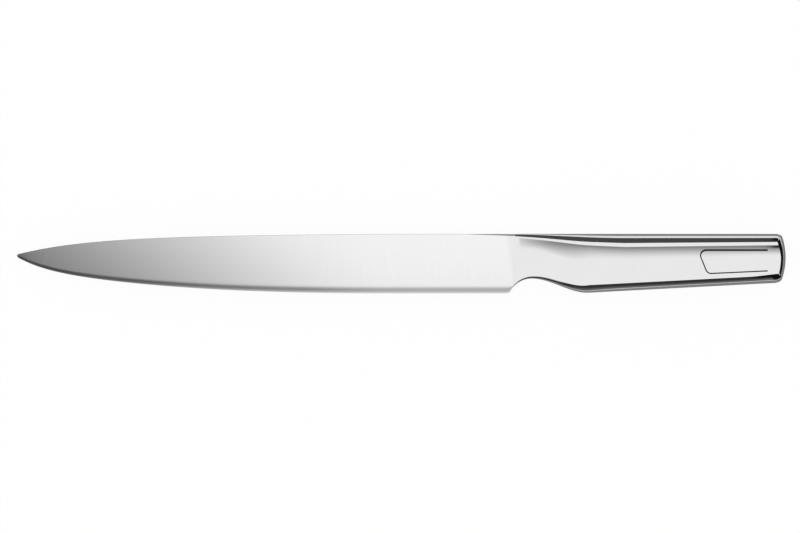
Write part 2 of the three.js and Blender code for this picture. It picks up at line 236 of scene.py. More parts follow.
def mirror_polished_steel():
    finish, tree = new_finish("mirror_polished_stainless_steel")
    place = add(tree, "ShaderNodeTexCoord").outputs["Object"]
    along = (1 / (buff_length * MM), 1 / (buff_spacing * MM), 1 / (buff_spacing * MM))
    stretched = add(tree, "ShaderNodeMapping", {"Vector": place, "Scale": along})
    lines = add(tree, "ShaderNodeTexNoise", {"Vector": stretched.outputs[0], "Scale": 1.0, "Detail": 2.0})
    smudges = add(tree, "ShaderNodeTexNoise", {
        "Vector": place, "Scale": 1 / (smudge_size * MM), "Detail": 4.0})
    dull = add(tree, "ShaderNodeMapRange", {"Value": smudges.outputs["Fac"], **smudge_rough})
    rough = add(tree, "ShaderNodeMath", {
        0: lines.outputs["Fac"], 1: buff_rough, 2: dull.outputs["Result"]}, operation="MULTIPLY_ADD")
    tone = add(tree, "ShaderNodeMix", {
        "Factor": smudges.outputs["Fac"], "A": linear("#DFDFDF"), "B": linear("#DBDBDB")}, data_type="RGBA")
    relief = add(tree, "ShaderNodeBump", {
        "Height": lines.outputs["Fac"], "Strength": 1.0, "Distance": buff_depth * MM})
    steel = add(tree, "ShaderNodeBsdfPrincipled", {
        "Base Color": tone.outputs["Result"], "Metallic": 1.0,
        "Roughness": rough.outputs["Value"], "Normal": relief.outputs["Normal"]})
    add(tree, "ShaderNodeOutputMaterial", {"Surface": steel.outputs["BSDF"]})
    return finish


polished_steel = mirror_polished_steel()
print("finish:", polished_steel.name)

# %% [markdown]
# The weld runs are ground flush and buffed with the rest. Filler wire has a slightly different make-up from the sheet
# beside it, so a run can just be told apart close by: it is a touch duller, with a faint ripple in its shine.

# %% Weld metal, ground flush
ripple_spacing = 0.5
weld_rough = {"To Min": 0.06, "To Max": 0.11}


def flush_weld_metal():
    finish, tree = new_finish("flush_ground_weld_metal")
    place = add(tree, "ShaderNodeTexCoord").outputs["Object"]
    ripples = add(tree, "ShaderNodeTexNoise", {
        "Vector": place, "Scale": 1 / (ripple_spacing * MM), "Detail": 2.0})
    rough = add(tree, "ShaderNodeMapRange", {"Value": ripples.outputs["Fac"], **noise_span, **weld_rough})
    tone = add(tree, "ShaderNodeMix", {
        "Factor": ripples.outputs["Fac"], "A": linear("#DEDEDE"), "B": linear("#DBDBDB")}, data_type="RGBA")
    steel = add(tree, "ShaderNodeBsdfPrincipled", {
        "Base Color": tone.outputs["Result"], "Metallic": 1.0, "Roughness": rough.outputs["Result"]})
    add(tree, "ShaderNodeOutputMaterial", {"Surface": steel.outputs["BSDF"]})
    return finish


weld_metal = flush_weld_metal()
print("finish:", weld_metal.name)

# %% [markdown]
# ## Black print and raw steel
# The line on the handle is ink, put on with a soft pad and baked: nearly black, a little matt, and not quite even. The
# weight inside the handle is a sawn block of mild steel that nobody sees, grey and streaked by the saw.

# %% Pad-printed black ink and sawn mild steel
ink_grain = 0.15
ink_rough = {"To Min": 0.45, "To Max": 0.6}
ink_shine = 0.3
saw_spacing = 0.35
saw_length = 9
saw_rough = {"To Min": 0.38, "To Max": 0.55}


def pad_printed_ink():
    finish, tree = new_finish("pad_printed_black_ink")
    place = add(tree, "ShaderNodeTexCoord").outputs["Object"]
    grain = add(tree, "ShaderNodeTexNoise", {"Vector": place, "Scale": 1 / (ink_grain * MM), "Detail": 2.0})
    tone = add(tree, "ShaderNodeMix", {
        "Factor": grain.outputs["Fac"], "A": linear("#1A1B1C"), "B": linear("#242526")}, data_type="RGBA")
    rough = add(tree, "ShaderNodeMapRange", {"Value": grain.outputs["Fac"], **noise_span, **ink_rough})
    ink = add(tree, "ShaderNodeBsdfPrincipled", {
        "Base Color": tone.outputs["Result"],
        "Roughness": rough.outputs["Result"], "Specular IOR Level": ink_shine})
    add(tree, "ShaderNodeOutputMaterial", {"Surface": ink.outputs["BSDF"]})
    return finish


def sawn_mild_steel():
    finish, tree = new_finish("sawn_mild_steel")
    place = add(tree, "ShaderNodeTexCoord").outputs["Object"]
    across = (1 / (saw_spacing * MM), 1 / (saw_length * MM), 1 / (saw_spacing * MM))
    stretched = add(tree, "ShaderNodeMapping", {"Vector": place, "Scale": across})
    streaks = add(tree, "ShaderNodeTexNoise", {"Vector": stretched.outputs[0], "Scale": 1.0, "Detail": 4.0})
    tone = add(tree, "ShaderNodeMix", {
        "Factor": streaks.outputs["Fac"], "A": linear("#85888C"), "B": linear("#A3A6A9")}, data_type="RGBA")
    rough = add(tree, "ShaderNodeMapRange", {"Value": streaks.outputs["Fac"], **noise_span, **saw_rough})
    steel = add(tree, "ShaderNodeBsdfPrincipled", {
        "Base Color": tone.outputs["Result"], "Metallic": 1.0, "Roughness": rough.outputs["Result"]})
    add(tree, "ShaderNodeOutputMaterial", {"Surface": steel.outputs["BSDF"]})
    return finish


black_ink = pad_printed_ink()
raw_steel = sawn_mild_steel()
print("finishes:", black_ink.name, raw_steel.name)

# %% [markdown]
# ## The blade
# A blade is one long shape that follows a rule: the spine falls slowly and then quickly near the point, the edge rises
# in the same way, and the steel thins from spine to edge before the bevel takes it to nothing. A rule is best kept as a
# rule, so Geometry Nodes bend a flat grid into the blade. One direction of the grid runs from the point to the weld.
# The other runs from the edge, up one side, over the spine and down the other side.
#
# The functions below make a tree with a named input for each size, and run it on an object. The result is kept as a
# plain mesh, and the modifier is taken away again.

# %% Running a tree
def new_tree(name, sizes, takes_path=False):
    """A Geometry Nodes tree with one named input for each size, and the outputs that give those inputs."""
    tree = bpy.data.node_groups.new(name, "GeometryNodeTree")
    tree.interface.new_socket("Geometry", in_out="OUTPUT", socket_type="NodeSocketGeometry")
    if takes_path:
        tree.interface.new_socket("Geometry", in_out="INPUT", socket_type="NodeSocketGeometry")
    for label, value in sizes.items():
        kind = "NodeSocketObject" if isinstance(value, bpy.types.Object) else "NodeSocketFloat"
        tree.interface.new_socket(label, in_out="INPUT", socket_type=kind)
    return tree, add(tree, "NodeGroupInput").outputs


def run_tree(obj, tree, sizes):
    """Runs a tree on an object and leaves a plain mesh."""
    modifier = obj.modifiers.new(tree.name, "NODES")
    modifier.node_group = tree
    for item in tree.interface.items_tree:
        if item.in_out == "INPUT" and item.name in sizes:
            modifier[item.identifier] = sizes[item.name]
    graph = bpy.context.evaluated_depsgraph_get()
    made = bpy.data.meshes.new_from_object(obj.evaluated_get(graph), depsgraph=graph)
    obj.modifiers.remove(modifier)
    obj.data = made
    made.name = obj.name
    print(obj.name, "has", len(made.polygons), "faces")
    return obj


def new_object(name, mesh=None):
    """A new object in the scene, with a mesh of its own or an empty one."""
    obj = bpy.data.objects.new(name, mesh or bpy.data.meshes.new(name))
    bpy.context.scene.collection.objects.link(obj)
    return obj


print("trees are built for Blender", bpy.app.version_string)

# %% [markdown]
# These are the blade's sizes in millimetres. The powers say how late the spine falls and the edge rises: a high power
# keeps the line nearly straight until close to the point.

# %% Sizes of the blade
blade_height = 24.2
notch_radius = 9.8
notch_depth = 18.1
notch_place = 8.66
weld_place = 1.6
blade_weld_width = 0.9
tip_depth = 8.8
tip_height = 1
spine_sweep = 3.1
edge_belly = 10.6
tang_half = 1.1
spine_round = 0.7
bevel_half = 0.365
heel_bevel = 3.1
blade_sizes = {
    "Length": blade_length,
    "Height": blade_height,
    "Straight Spine": 33,
    "Spine Sweep": spine_sweep,
    "Spine Nose": tip_depth - tip_height / 2 - spine_sweep,
    "Straight Edge": 35,
    "Edge Belly": edge_belly,
    "Edge Nose": blade_height - tip_depth - tip_height / 2 - edge_belly,
    "Heel To Weld": weld_place - blade_weld_width / 2,
    "Notch Radius": notch_radius,
    "Notch Depth": notch_depth,
    "Notch Place": notch_place,
    "Spine Half": tang_half,
    "Tip Half": 0.31,
    "Spine Ease": 0.1,
    "Spine Round": spine_round,
    "Round From": -18,
    "Shoulder Half": bevel_half,
    "Tip Shoulder": 0.2,
    "Edge Half": 0.06,
    "Heel Bevel": heel_bevel,
    "Tip Bevel": 1.25,
    "Nose Round": 0.6,
}
spine_power = 7
belly_power = 2.75
edge_power = 16
print("blade sizes:", len(blade_sizes))

# %% [markdown]
# The grid's rows are crowded towards the point, where the outline turns fastest, and one row lies exactly on the heel.
# The rest of this cell is the outline rule: the height of the spine and of the edge at every row.

# %% Blade outline
rows = 221
columns = 81
one_row = 1 / (rows - 1)
heel_share = 0.9
crowding = 1.5

blade_tree, size = new_tree("ground_blade", blade_sizes)
grid = add(blade_tree, "GeometryNodeMeshGrid", {
    "Size X": 1.0, "Size Y": 1.0, "Vertices X": rows, "Vertices Y": columns})
spot = add(blade_tree, "GeometryNodeInputPosition")
flat = add(blade_tree, "ShaderNodeSeparateXYZ", {0: spot.outputs[0]})
along = add(blade_tree, "ShaderNodeMapRange", {
    "Value": flat.outputs["X"], "From Min": -0.5 + one_row, "From Max": 0.5 - one_row}).outputs[0]
to_heel = add(blade_tree, "ShaderNodeMath", {0: along, 1: heel_share}, operation="DIVIDE", use_clamp=True)
crowded = add(blade_tree, "ShaderNodeMath", {0: to_heel.outputs[0], 1: crowding}, operation="POWER")
backwards = add(blade_tree, "ShaderNodeMath", {0: size["Length"], 1: -1.0}, operation="MULTIPLY").outputs[0]
ahead = add(blade_tree, "ShaderNodeMath", {
    0: crowded.outputs[0], 1: size["Length"], 2: backwards}, operation="MULTIPLY_ADD")
behind = add(blade_tree, "ShaderNodeMapRange", {
    "Value": along, "From Min": heel_share, "From Max": 1.0, "To Min": 0.0, "To Max": size["Heel To Weld"]})
x = add(blade_tree, "ShaderNodeMath", {
    0: ahead.outputs[0], 1: behind.outputs[0]}, operation="ADD").outputs[0]

spine_from = add(blade_tree, "ShaderNodeMath", {0: size["Straight Spine"], 1: -1.0}, operation="MULTIPLY")
to_tip = add(blade_tree, "ShaderNodeMapRange", {
    "Value": x, "From Min": spine_from.outputs[0], "From Max": backwards}).outputs[0]
to_tip_squared = add(blade_tree, "ShaderNodeMath", {0: to_tip, 1: 2.0}, operation="POWER").outputs[0]
spine_nose = add(blade_tree, "ShaderNodeMath", {0: to_tip, 1: spine_power}, operation="POWER")
sweep = add(blade_tree, "ShaderNodeMath", {0: to_tip_squared, 1: size["Spine Sweep"]}, operation="MULTIPLY")
fall = add(blade_tree, "ShaderNodeMath", {
    0: spine_nose.outputs[0], 1: size["Spine Nose"], 2: sweep.outputs[0]}, operation="MULTIPLY_ADD")
top = add(blade_tree, "ShaderNodeMath", {0: fall.outputs[0], 1: -1.0}, operation="MULTIPLY").outputs[0]

edge_from = add(blade_tree, "ShaderNodeMath", {0: size["Straight Edge"], 1: -1.0}, operation="MULTIPLY")
edge_share = add(blade_tree, "ShaderNodeMapRange", {
    "Value": x, "From Min": edge_from.outputs[0], "From Max": backwards}).outputs[0]
belly_share = add(blade_tree, "ShaderNodeMath", {0: edge_share, 1: belly_power}, operation="POWER")
nose_share = add(blade_tree, "ShaderNodeMath", {0: edge_share, 1: edge_power}, operation="POWER")
belly_rise = add(blade_tree, "ShaderNodeMath", {
    0: belly_share.outputs[0], 1: size["Edge Belly"]}, operation="MULTIPLY")
rise = add(blade_tree, "ShaderNodeMath", {
    0: nose_share.outputs[0], 1: size["Edge Nose"], 2: belly_rise.outputs[0]}, operation="MULTIPLY_ADD")
edge = add(blade_tree, "ShaderNodeMath", {
    0: rise.outputs[0], 1: size["Height"]}, operation="SUBTRACT").outputs[0]
print("outline nodes:", len(blade_tree.nodes))

# %% [markdown]
# Behind the heel a round finger notch cuts the edge away. Its circle is worked out at every row, and whichever is
# higher, the circle or the edge, is the bottom of the blade. The circle meets the edge just ahead of the heel, between
# two rows, so the heel's corner comes out a little eased, as a whetstone would leave it.

# %% Finger notch
off_centre = add(blade_tree, "ShaderNodeMath", {0: x, 1: size["Notch Place"]}, operation="SUBTRACT")
off_squared = add(blade_tree, "ShaderNodeMath", {0: off_centre.outputs[0], 1: 2.0}, operation="POWER")
radius_squared = add(blade_tree, "ShaderNodeMath", {0: size["Notch Radius"], 1: 2.0}, operation="POWER")
arc_squared = add(blade_tree, "ShaderNodeMath", {
    0: radius_squared.outputs[0], 1: off_squared.outputs[0]}, operation="SUBTRACT")
above_zero = add(blade_tree, "ShaderNodeMath", {0: arc_squared.outputs[0], 1: 0.0}, operation="MAXIMUM")
arc = add(blade_tree, "ShaderNodeMath", {0: above_zero.outputs[0]}, operation="SQRT")
notch_low = add(blade_tree, "ShaderNodeMath", {
    0: size["Notch Depth"], 1: size["Notch Radius"]}, operation="ADD")
notch = add(blade_tree, "ShaderNodeMath", {
    0: arc.outputs[0], 1: notch_low.outputs[0]}, operation="SUBTRACT")
bottom = add(blade_tree, "ShaderNodeMath", {0: edge, 1: notch.outputs[0]}, operation="MAXIMUM").outputs[0]
notch_reach = math.sqrt(notch_radius ** 2 - (notch_radius + notch_depth - blade_height) ** 2)
print("notch meets the edge", round(notch_reach - notch_place, 2), "mm ahead of the heel")

# %% [markdown]
# Next comes the thickness. Two straight lines rule it: the side, from the spine to the shoulder of the bevel, and the
# bevel, from the shoulder to the edge. The steel is as thick as the thinner of the two lines. Towards the point the
# spine thins, and the bevel gets narrower and thinner with it. The back is only eased along the blade, and is rounded
# further where the tang runs into the handle.

# %% Blade thickness
bevel_share = 0.4
back_share = 0.25
least_bevel = 0.15
thin_from = 0.3
bevel_power = 1.5

tall = add(blade_tree, "ShaderNodeMath", {0: top, 1: edge}, operation="SUBTRACT")
most_bevel = add(blade_tree, "ShaderNodeMath", {0: tall.outputs[0], 1: bevel_share}, operation="MULTIPLY")
bevel_fall = add(blade_tree, "ShaderNodeMath", {0: to_tip, 1: bevel_power}, operation="POWER")
planned_bevel = add(blade_tree, "ShaderNodeMapRange", {
    "Value": bevel_fall.outputs[0], "To Min": size["Heel Bevel"], "To Max": size["Tip Bevel"]})
bevel = add(blade_tree, "ShaderNodeMath", {
    0: planned_bevel.outputs[0], 1: most_bevel.outputs[0]}, operation="MINIMUM")
bevel_top = add(blade_tree, "ShaderNodeMath", {0: edge, 1: bevel.outputs[0]}, operation="ADD").outputs[0]
lowest = add(blade_tree, "ShaderNodeMath", {0: bottom, 1: least_bevel}, operation="ADD")
shoulder = add(blade_tree, "ShaderNodeMath", {
    0: bevel_top, 1: lowest.outputs[0]}, operation="MAXIMUM").outputs[0]
spine_half = add(blade_tree, "ShaderNodeMapRange", {
    "Value": to_tip_squared, "To Min": size["Spine Half"], "To Max": size["Tip Half"]}).outputs[0]
bevel_top_half = add(blade_tree, "ShaderNodeMapRange", {
    "Value": to_tip, "From Min": thin_from,
    "To Min": size["Shoulder Half"], "To Max": size["Tip Shoulder"]}).outputs[0]
open_height = add(blade_tree, "ShaderNodeMath", {0: top, 1: bottom}, operation="SUBTRACT")
most_round = add(blade_tree, "ShaderNodeMath", {
    0: open_height.outputs[0], 1: back_share}, operation="MULTIPLY")
rounding = add(blade_tree, "ShaderNodeMapRange", {
    "Value": x, "From Min": size["Round From"], "From Max": size["Heel To Weld"],
    "To Min": size["Spine Ease"], "To Max": size["Spine Round"]})
back_round = add(blade_tree, "ShaderNodeMath", {
    0: rounding.outputs[0], 1: most_round.outputs[0]}, operation="MINIMUM").outputs[0]
round_foot = add(blade_tree, "ShaderNodeMath", {0: top, 1: back_round}, operation="SUBTRACT").outputs[0]

side_rule = {
    "From Min": top, "From Max": bevel_top, "To Min": spine_half, "To Max": bevel_top_half}
bevel_rule = {
    "From Min": bevel_top, "From Max": edge, "To Min": bevel_top_half, "To Max": size["Edge Half"]}
back_half = add(blade_tree, "ShaderNodeMapRange", {"Value": round_foot, **side_rule}, clamp=False)
shoulder_half = add(blade_tree, "ShaderNodeMapRange", {"Value": shoulder, **side_rule}, clamp=False)
side_line = add(blade_tree, "ShaderNodeMapRange", {"Value": bottom, **side_rule}, clamp=False)
bevel_line = add(blade_tree, "ShaderNodeMapRange", {"Value": bottom, **bevel_rule}, clamp=False)
bottom_half = add(blade_tree, "ShaderNodeMath", {
    0: side_line.outputs[0], 1: bevel_line.outputs[0]}, operation="MINIMUM").outputs[0]
print("nodes so far:", len(blade_tree.nodes))

# %% [markdown]
# Now the cross-section. The other direction of the grid counts from 0 at the middle of the spine to 1 at the edge, on
# either side. It passes four stages in turn: round the back, down the side, down the bevel, and across the edge. The
# bevel is ground hollow on a wheel, and a soft belt has eased its shoulder: it leaves the side gently, is steepest half
# way down, and flattens again towards the edge. The start and finish below are its slopes there, as shares of the mean,
# and the cubic curve that has those slopes is worked out from the inside.

# %% Blade cross-section
back_end = 0.2
side_end = 0.7
bevel_end = 0.95
bevel_start = 0.32
bevel_finish = {"From Min": 0.2, "From Max": 0.6, "To Min": 0.5, "To Max": 0.0}

unsigned = add(blade_tree, "ShaderNodeMath", {0: flat.outputs["Y"]}, operation="ABSOLUTE")
down = add(blade_tree, "ShaderNodeMath", {0: unsigned.outputs[0], 1: 2.0}, operation="MULTIPLY").outputs[0]
turn = add(blade_tree, "ShaderNodeMapRange", {
    "Value": down, "From Min": 0.0, "From Max": back_end, "To Min": 0.0, "To Max": math.pi / 2}).outputs[0]
on_side = add(blade_tree, "ShaderNodeMapRange", {
    "Value": down, "From Min": back_end, "From Max": side_end}).outputs[0]
on_bevel = add(blade_tree, "ShaderNodeMapRange", {
    "Value": down, "From Min": side_end, "From Max": bevel_end}).outputs[0]
on_edge = add(blade_tree, "ShaderNodeMapRange", {
    "Value": down, "From Min": bevel_end, "From Max": 1.0}).outputs[0]
cosine = add(blade_tree, "ShaderNodeMath", {0: turn}, operation="COSINE")
sine = add(blade_tree, "ShaderNodeMath", {0: turn}, operation="SINE")
back_y = add(blade_tree, "ShaderNodeMath", {
    0: cosine.outputs[0], 1: back_round, 2: round_foot}, operation="MULTIPLY_ADD")
back_z = add(blade_tree, "ShaderNodeMath", {
    0: sine.outputs[0], 1: back_half.outputs[0]}, operation="MULTIPLY")
side_y = add(blade_tree, "ShaderNodeMix", {"Factor": on_side, "A": back_y.outputs[0], "B": shoulder})
side_z = add(blade_tree, "ShaderNodeMix", {
    "Factor": on_side, "A": back_z.outputs[0], "B": shoulder_half.outputs[0]})
bevel_y = add(blade_tree, "ShaderNodeMix", {"Factor": on_bevel, "A": side_y.outputs[0], "B": bottom})
finish_slope = add(blade_tree, "ShaderNodeMapRange", {"Value": to_tip, **bevel_finish})
falling = add(blade_tree, "ShaderNodeMath", {0: finish_slope.outputs[0], 1: bevel_start - 2})
rising = add(blade_tree, "ShaderNodeMath", {
    0: 3 - 2 * bevel_start, 1: finish_slope.outputs[0]}, operation="SUBTRACT")
steepening = add(blade_tree, "ShaderNodeMath", {
    0: on_bevel, 1: falling.outputs[0], 2: rising.outputs[0]}, operation="MULTIPLY_ADD")
easing = add(blade_tree, "ShaderNodeMath", {
    0: on_bevel, 1: steepening.outputs[0], 2: bevel_start}, operation="MULTIPLY_ADD")
thinning = add(blade_tree, "ShaderNodeMath", {0: on_bevel, 1: easing.outputs[0]}, operation="MULTIPLY")
bevel_z = add(blade_tree, "ShaderNodeMix", {
    "Factor": thinning.outputs[0], "A": side_z.outputs[0], "B": bottom_half})
edge_z = add(blade_tree, "ShaderNodeMix", {"Factor": on_edge, "A": bevel_z.outputs[0], "B": 0.0})
print("nodes so far:", len(blade_tree.nodes))

# %% [markdown]
# The point is blunt and a little rounded, so the last bit of the blade closes along a quarter circle. At the other end
# the last row shrinks to one point, which makes a flat end for the weld.

# %% Close both ends
end_row = 0.5 - one_row / 2

from_tip = add(blade_tree, "ShaderNodeMath", {0: x, 1: backwards}, operation="SUBTRACT")
point_share = add(blade_tree, "ShaderNodeMapRange", {
    "Value": from_tip.outputs[0], "From Min": 0.0, "From Max": size["Nose Round"]}).outputs[0]
nose_left = add(blade_tree, "ShaderNodeMath", {0: 2.0, 1: point_share}, operation="SUBTRACT")
nose_squared = add(blade_tree, "ShaderNodeMath", {
    0: point_share, 1: nose_left.outputs[0]}, operation="MULTIPLY")
nose = add(blade_tree, "ShaderNodeMath", {0: nose_squared.outputs[0]}, operation="SQRT")
not_last = add(blade_tree, "ShaderNodeMath", {0: flat.outputs["X"], 1: end_row}, operation="LESS_THAN")
wide = add(blade_tree, "ShaderNodeMath", {0: nose.outputs[0], 1: not_last.outputs[0]}, operation="MULTIPLY")
half_way = add(blade_tree, "ShaderNodeMix", {"Factor": 0.5, "A": top, "B": bottom})
y = add(blade_tree, "ShaderNodeMix", {
    "Factor": wide.outputs[0], "A": half_way.outputs[0], "B": bevel_y.outputs[0]})
open_z = add(blade_tree, "ShaderNodeMath", {0: edge_z.outputs[0], 1: wide.outputs[0]}, operation="MULTIPLY")
print("nodes so far:", len(blade_tree.nodes))

# %% [markdown]
# Now the grid is bent into shape. Its seam along the edge is merged, and the lines at the edge, along the back and
# round the flat end are kept sharp, because smoothed light would run round those corners.

# %% Bend the grid into the blade
near_enough = 0.002
end_ring = 0.5 - one_row
ring_width = 0.2 / rows
merge_distance = 2e-6

turned = add(blade_tree, "ShaderNodeMath", {0: flat.outputs["Y"], 1: -1.0}, operation="MULTIPLY")
which_side = add(blade_tree, "ShaderNodeMath", {0: turned.outputs[0]}, operation="SIGN")
z = add(blade_tree, "ShaderNodeMath", {
    0: open_z.outputs[0], 1: which_side.outputs[0]}, operation="MULTIPLY")
drawn = add(blade_tree, "ShaderNodeCombineXYZ", {"X": x, "Y": y.outputs[0], "Z": z.outputs[0]})
moved = add(blade_tree, "ShaderNodeVectorMath", {0: drawn.outputs[0], 1: tuple(origin)}, operation="ADD")
metres = add(blade_tree, "ShaderNodeVectorMath", {0: moved.outputs[0], "Scale": MM}, operation="SCALE")
kept = add(blade_tree, "GeometryNodeCaptureAttribute", {"Geometry": grid.outputs["Mesh"]}, domain="POINT")
kept.capture_items.new("FLOAT", "down")
kept.capture_items.new("FLOAT", "row")
blade_tree.links.new(down, kept.inputs["down"])
blade_tree.links.new(flat.outputs["X"], kept.inputs["row"])
bent = add(blade_tree, "GeometryNodeSetPosition", {
    "Geometry": kept.outputs["Geometry"], "Position": metres.outputs[0]})
closed = add(blade_tree, "GeometryNodeMergeByDistance", {
    "Geometry": bent.outputs[0], "Distance": merge_distance})
at_end = add(blade_tree, "ShaderNodeMath", {
    0: kept.outputs["row"], 1: end_ring, 2: ring_width}, operation="COMPARE")
at_edge = add(blade_tree, "ShaderNodeMath", {
    0: kept.outputs["down"], 1: bevel_end, 2: near_enough}, operation="COMPARE")
at_back = add(blade_tree, "ShaderNodeMath", {
    0: kept.outputs["down"], 1: back_end, 2: near_enough}, operation="COMPARE")
lengthways = add(blade_tree, "ShaderNodeMath", {
    0: at_edge.outputs[0], 1: at_back.outputs[0]}, operation="MAXIMUM")
creased = add(blade_tree, "ShaderNodeMath", {
    0: at_end.outputs[0], 1: lengthways.outputs[0]}, operation="MAXIMUM")
smooth = add(blade_tree, "GeometryNodeSetShadeSmooth", {"Geometry": closed.outputs[0]}, domain="FACE")
sharp = add(blade_tree, "GeometryNodeSetShadeSmooth", {
    "Geometry": smooth.outputs[0], "Selection": creased.outputs[0], "Shade Smooth": False}, domain="EDGE")
solid = add(blade_tree, "GeometryNodeRealizeInstances", {"Geometry": sharp.outputs[0]})
below_shoulder = add(blade_tree, "ShaderNodeMath", {
    0: kept.outputs["down"], 1: side_end}, operation="GREATER_THAN")
satin = add(blade_tree, "GeometryNodeSetMaterial", {"Geometry": solid.outputs[0], "Material": satin_steel})
honed = add(blade_tree, "GeometryNodeSetMaterial", {
    "Geometry": satin.outputs[0], "Selection": below_shoulder.outputs[0], "Material": honed_steel})
add(blade_tree, "NodeGroupOutput", {"Geometry": honed.outputs[0]})

blade = run_tree(new_object("ground_blade"), blade_tree, {k: float(v) for k, v in blade_sizes.items()})
print("blade nodes:", len(blade_tree.nodes))

# %% [markdown]
# ## The handle's shape
# Behind the weld the flat tang swells into a full handle. Every slice across it has the same parts in the same order: a
# rounded back, a flat crest along the widest line, a shallow hollow below the crest, a flat side, and a rounded belly.
# A slice is drawn from a few curves, and their sizes grow along the neck from almost nothing at the weld. Only the
# hollow opens at once: a wheel cuts it in just behind the weld, and the back is left a hair higher there.

# %% Sizes of the handle
belly_place = 32
belly_depth = 23.9
butt_depth = 19.8
handle_length = 112.1
handle_thickness = 15
flare_end = 47
crest_depth = 4.35
back_fullness = 0.62
crest_land = 1.1
cove_height = 8.5
cove_depth = 0.69
cove_slope = 0.22
cove_start = 1.9
cove_finish = 2.6
belly_round = 3.1
belly_tilt = math.radians(28)
neck_ease = 0.85
hollow_power, hollow_run = 0.17, 3.2
back_rise, rise_run = 0.08, 2
least_land = 0.05
belly_open, round_power = 0.67, 1.5
corner_sweep = 14
corner_lift = 0.7
tang_low_half = tang_half + (bevel_half - tang_half) * notch_depth / (blade_height - heel_bevel)
print("handle:", handle_length, "by", belly_depth, "by", handle_thickness, "mm")

# %% [markdown]
# The underside is a round notch, then a soft swell to the deepest place, then a straight taper to the butt.

# %% Underside of the handle
def ease(share):
    """A smooth start and stop between 0 and 1."""
    share = min(max(share, 0), 1)
    return share * share * (3 - 2 * share)


def between(start, end, share):
    """The value a share of the way from start to end."""
    return start + (end - start) * share


def depth_at(x):
    """How far the underside lies below the spine at x."""
    taper = (belly_depth - butt_depth) / (handle_length - belly_place)
    if x < notch_place:
        return notch_depth + notch_radius - math.sqrt(notch_radius ** 2 - (x - notch_place) ** 2)
    if x > belly_place:
        return belly_depth - taper * (x - belly_place)
    span = belly_place - notch_place
    share = (x - notch_place) / span
    return between(notch_depth, belly_depth, ease(share)) + taper * span * share ** 2 * (1 - share)


for place in (notch_place, belly_place, handle_length):
    print("depth at", place, "mm behind the heel:", round(depth_at(place), 2))

# %% [markdown]
# The parts of a slice are Bezier curves. Such a curve is made by blending between its control points again and again,
# which works for any number of points.

# %% Blended curve
def curve(points, steps):
    """Points along a Bezier curve."""
    share = np.linspace(0, 1, steps + 1)[:, None]
    layers = [np.array(p, float)[None, :] for p in points]
    while len(layers) > 1:
        layers = [a * (1 - share) + b * share for a, b in zip(layers, layers[1:])]
    return layers[0]


print("top of a curve that is pulled towards (1, 2):", curve([(0, 0), (1, 2), (2, 0)], 2)[1])

# %% [markdown]
# One slice runs from the middle of the back down to the middle of the belly. Behind the notch the round of the belly
# starts at a slant, which leaves a crisp line along the side, and towards the butt that line lifts a little.

# %% One slice of the handle
back_steps = 28
cove_steps = 14
side_steps = 6
belly_steps = 22
ridge_column = back_steps + 1
crease_column = ridge_column + cove_steps + side_steps
crease_from = 19
crease_to = 29


def slice_at(x):
    """Heights and half thicknesses of the handle at x."""
    depth = depth_at(x)
    opening = min(max((x - weld_place) / (flare_end - weld_place), 0), 1)
    early = math.sqrt(opening)
    behind_weld = max(x - weld_place + blade_weld_width / 2, 0)
    hollow = min(behind_weld / flare_end, 1) ** hollow_power * ease(behind_weld / hollow_run)
    rise = back_rise * ease(behind_weld / rise_run)
    share = depth / belly_depth
    half = between(tang_half, handle_thickness / 2, ease(opening))
    low_half = between(tang_low_half, handle_thickness / 2, ease(opening))
    crest = between(spine_round, crest_depth * share, early)
    ridge = crest + between(least_land, crest_land * share, early)
    lift = corner_lift * ease((x - handle_length) / corner_sweep + 1)
    low = depth - between(neck_ease, belly_round, min(opening / belly_open, 1) ** round_power) - lift
    foot = ridge + cove_height * share
    foot_half = between(half, low_half, (foot - ridge) / (low - ridge)) - cove_depth * share * hollow
    slope = (low_half - foot_half) / (low - foot)
    start = (-ridge - cove_start, half - cove_slope * hollow * cove_start)
    finish = (-foot + cove_finish, foot_half - slope * cove_finish)
    tilt = belly_tilt * ease((x - crease_from) / (crease_to - crease_from))
    corner_half = low_half - (depth - low) * math.tan(tilt)
    shoulder = (-crest * (1 - back_fullness), half)
    back = curve([(rise, 0), (rise, half * back_fullness), shoulder, (-crest, half)], back_steps)
    cove = curve([(-ridge, half), start, finish, (-foot, foot_half)], cove_steps)
    side = curve([(-foot, foot_half), (-low, low_half)], side_steps)[1:-1]
    belly = curve([(-low, low_half), (-depth, corner_half), (-depth, 0)], belly_steps)
    return np.vstack([back, cove, side, belly])


print("points in half a slice:", len(slice_at(flare_end)))

# %% [markdown]
# A slice can be shrunk towards its middle, for the inside of a wall or the bottom of a weld groove. It is drawn flat,
# and then set in its place along the handle, on the left side or mirrored to the right.

# %% Shrink and place a slice
def shrink(outline, amount, rise=None):
    """The slice with its sides moved in by an amount, and its top and bottom by a rise."""
    rise = amount if rise is None else rise
    half_height = (outline[0, 0] - outline[-1, 0]) / 2
    centre = (outline[0, 0] + outline[-1, 0]) / 2
    height = centre + (outline[:, 0] - centre) * (1 - rise / half_height)
    width = outline[:, 1] * (1 - amount / outline[:, 1].max())
    return np.column_stack([height, width])


def placed(x, outline, side=1):
    """A slice as points, on the left side or mirrored to the right."""
    return np.column_stack([np.full(len(outline), x), outline[:, 0], outline[:, 1] * side])


full_slice = slice_at(flare_end)
thinner_slice = shrink(full_slice, 1)
print("half thickness in mm:", full_slice[:, 1].max(), "and shrunk by 1 mm:", thinner_slice[:, 1].max())

# %% [markdown]
# Slices are set one behind the other and joined by rows of faces, with a flat end at the front and at the back. A shape
# that is made point by point always ends in the same way, so one function gives it smooth faces and a finish. It also
# counts the edges that are still open, because a solid piece must have none.

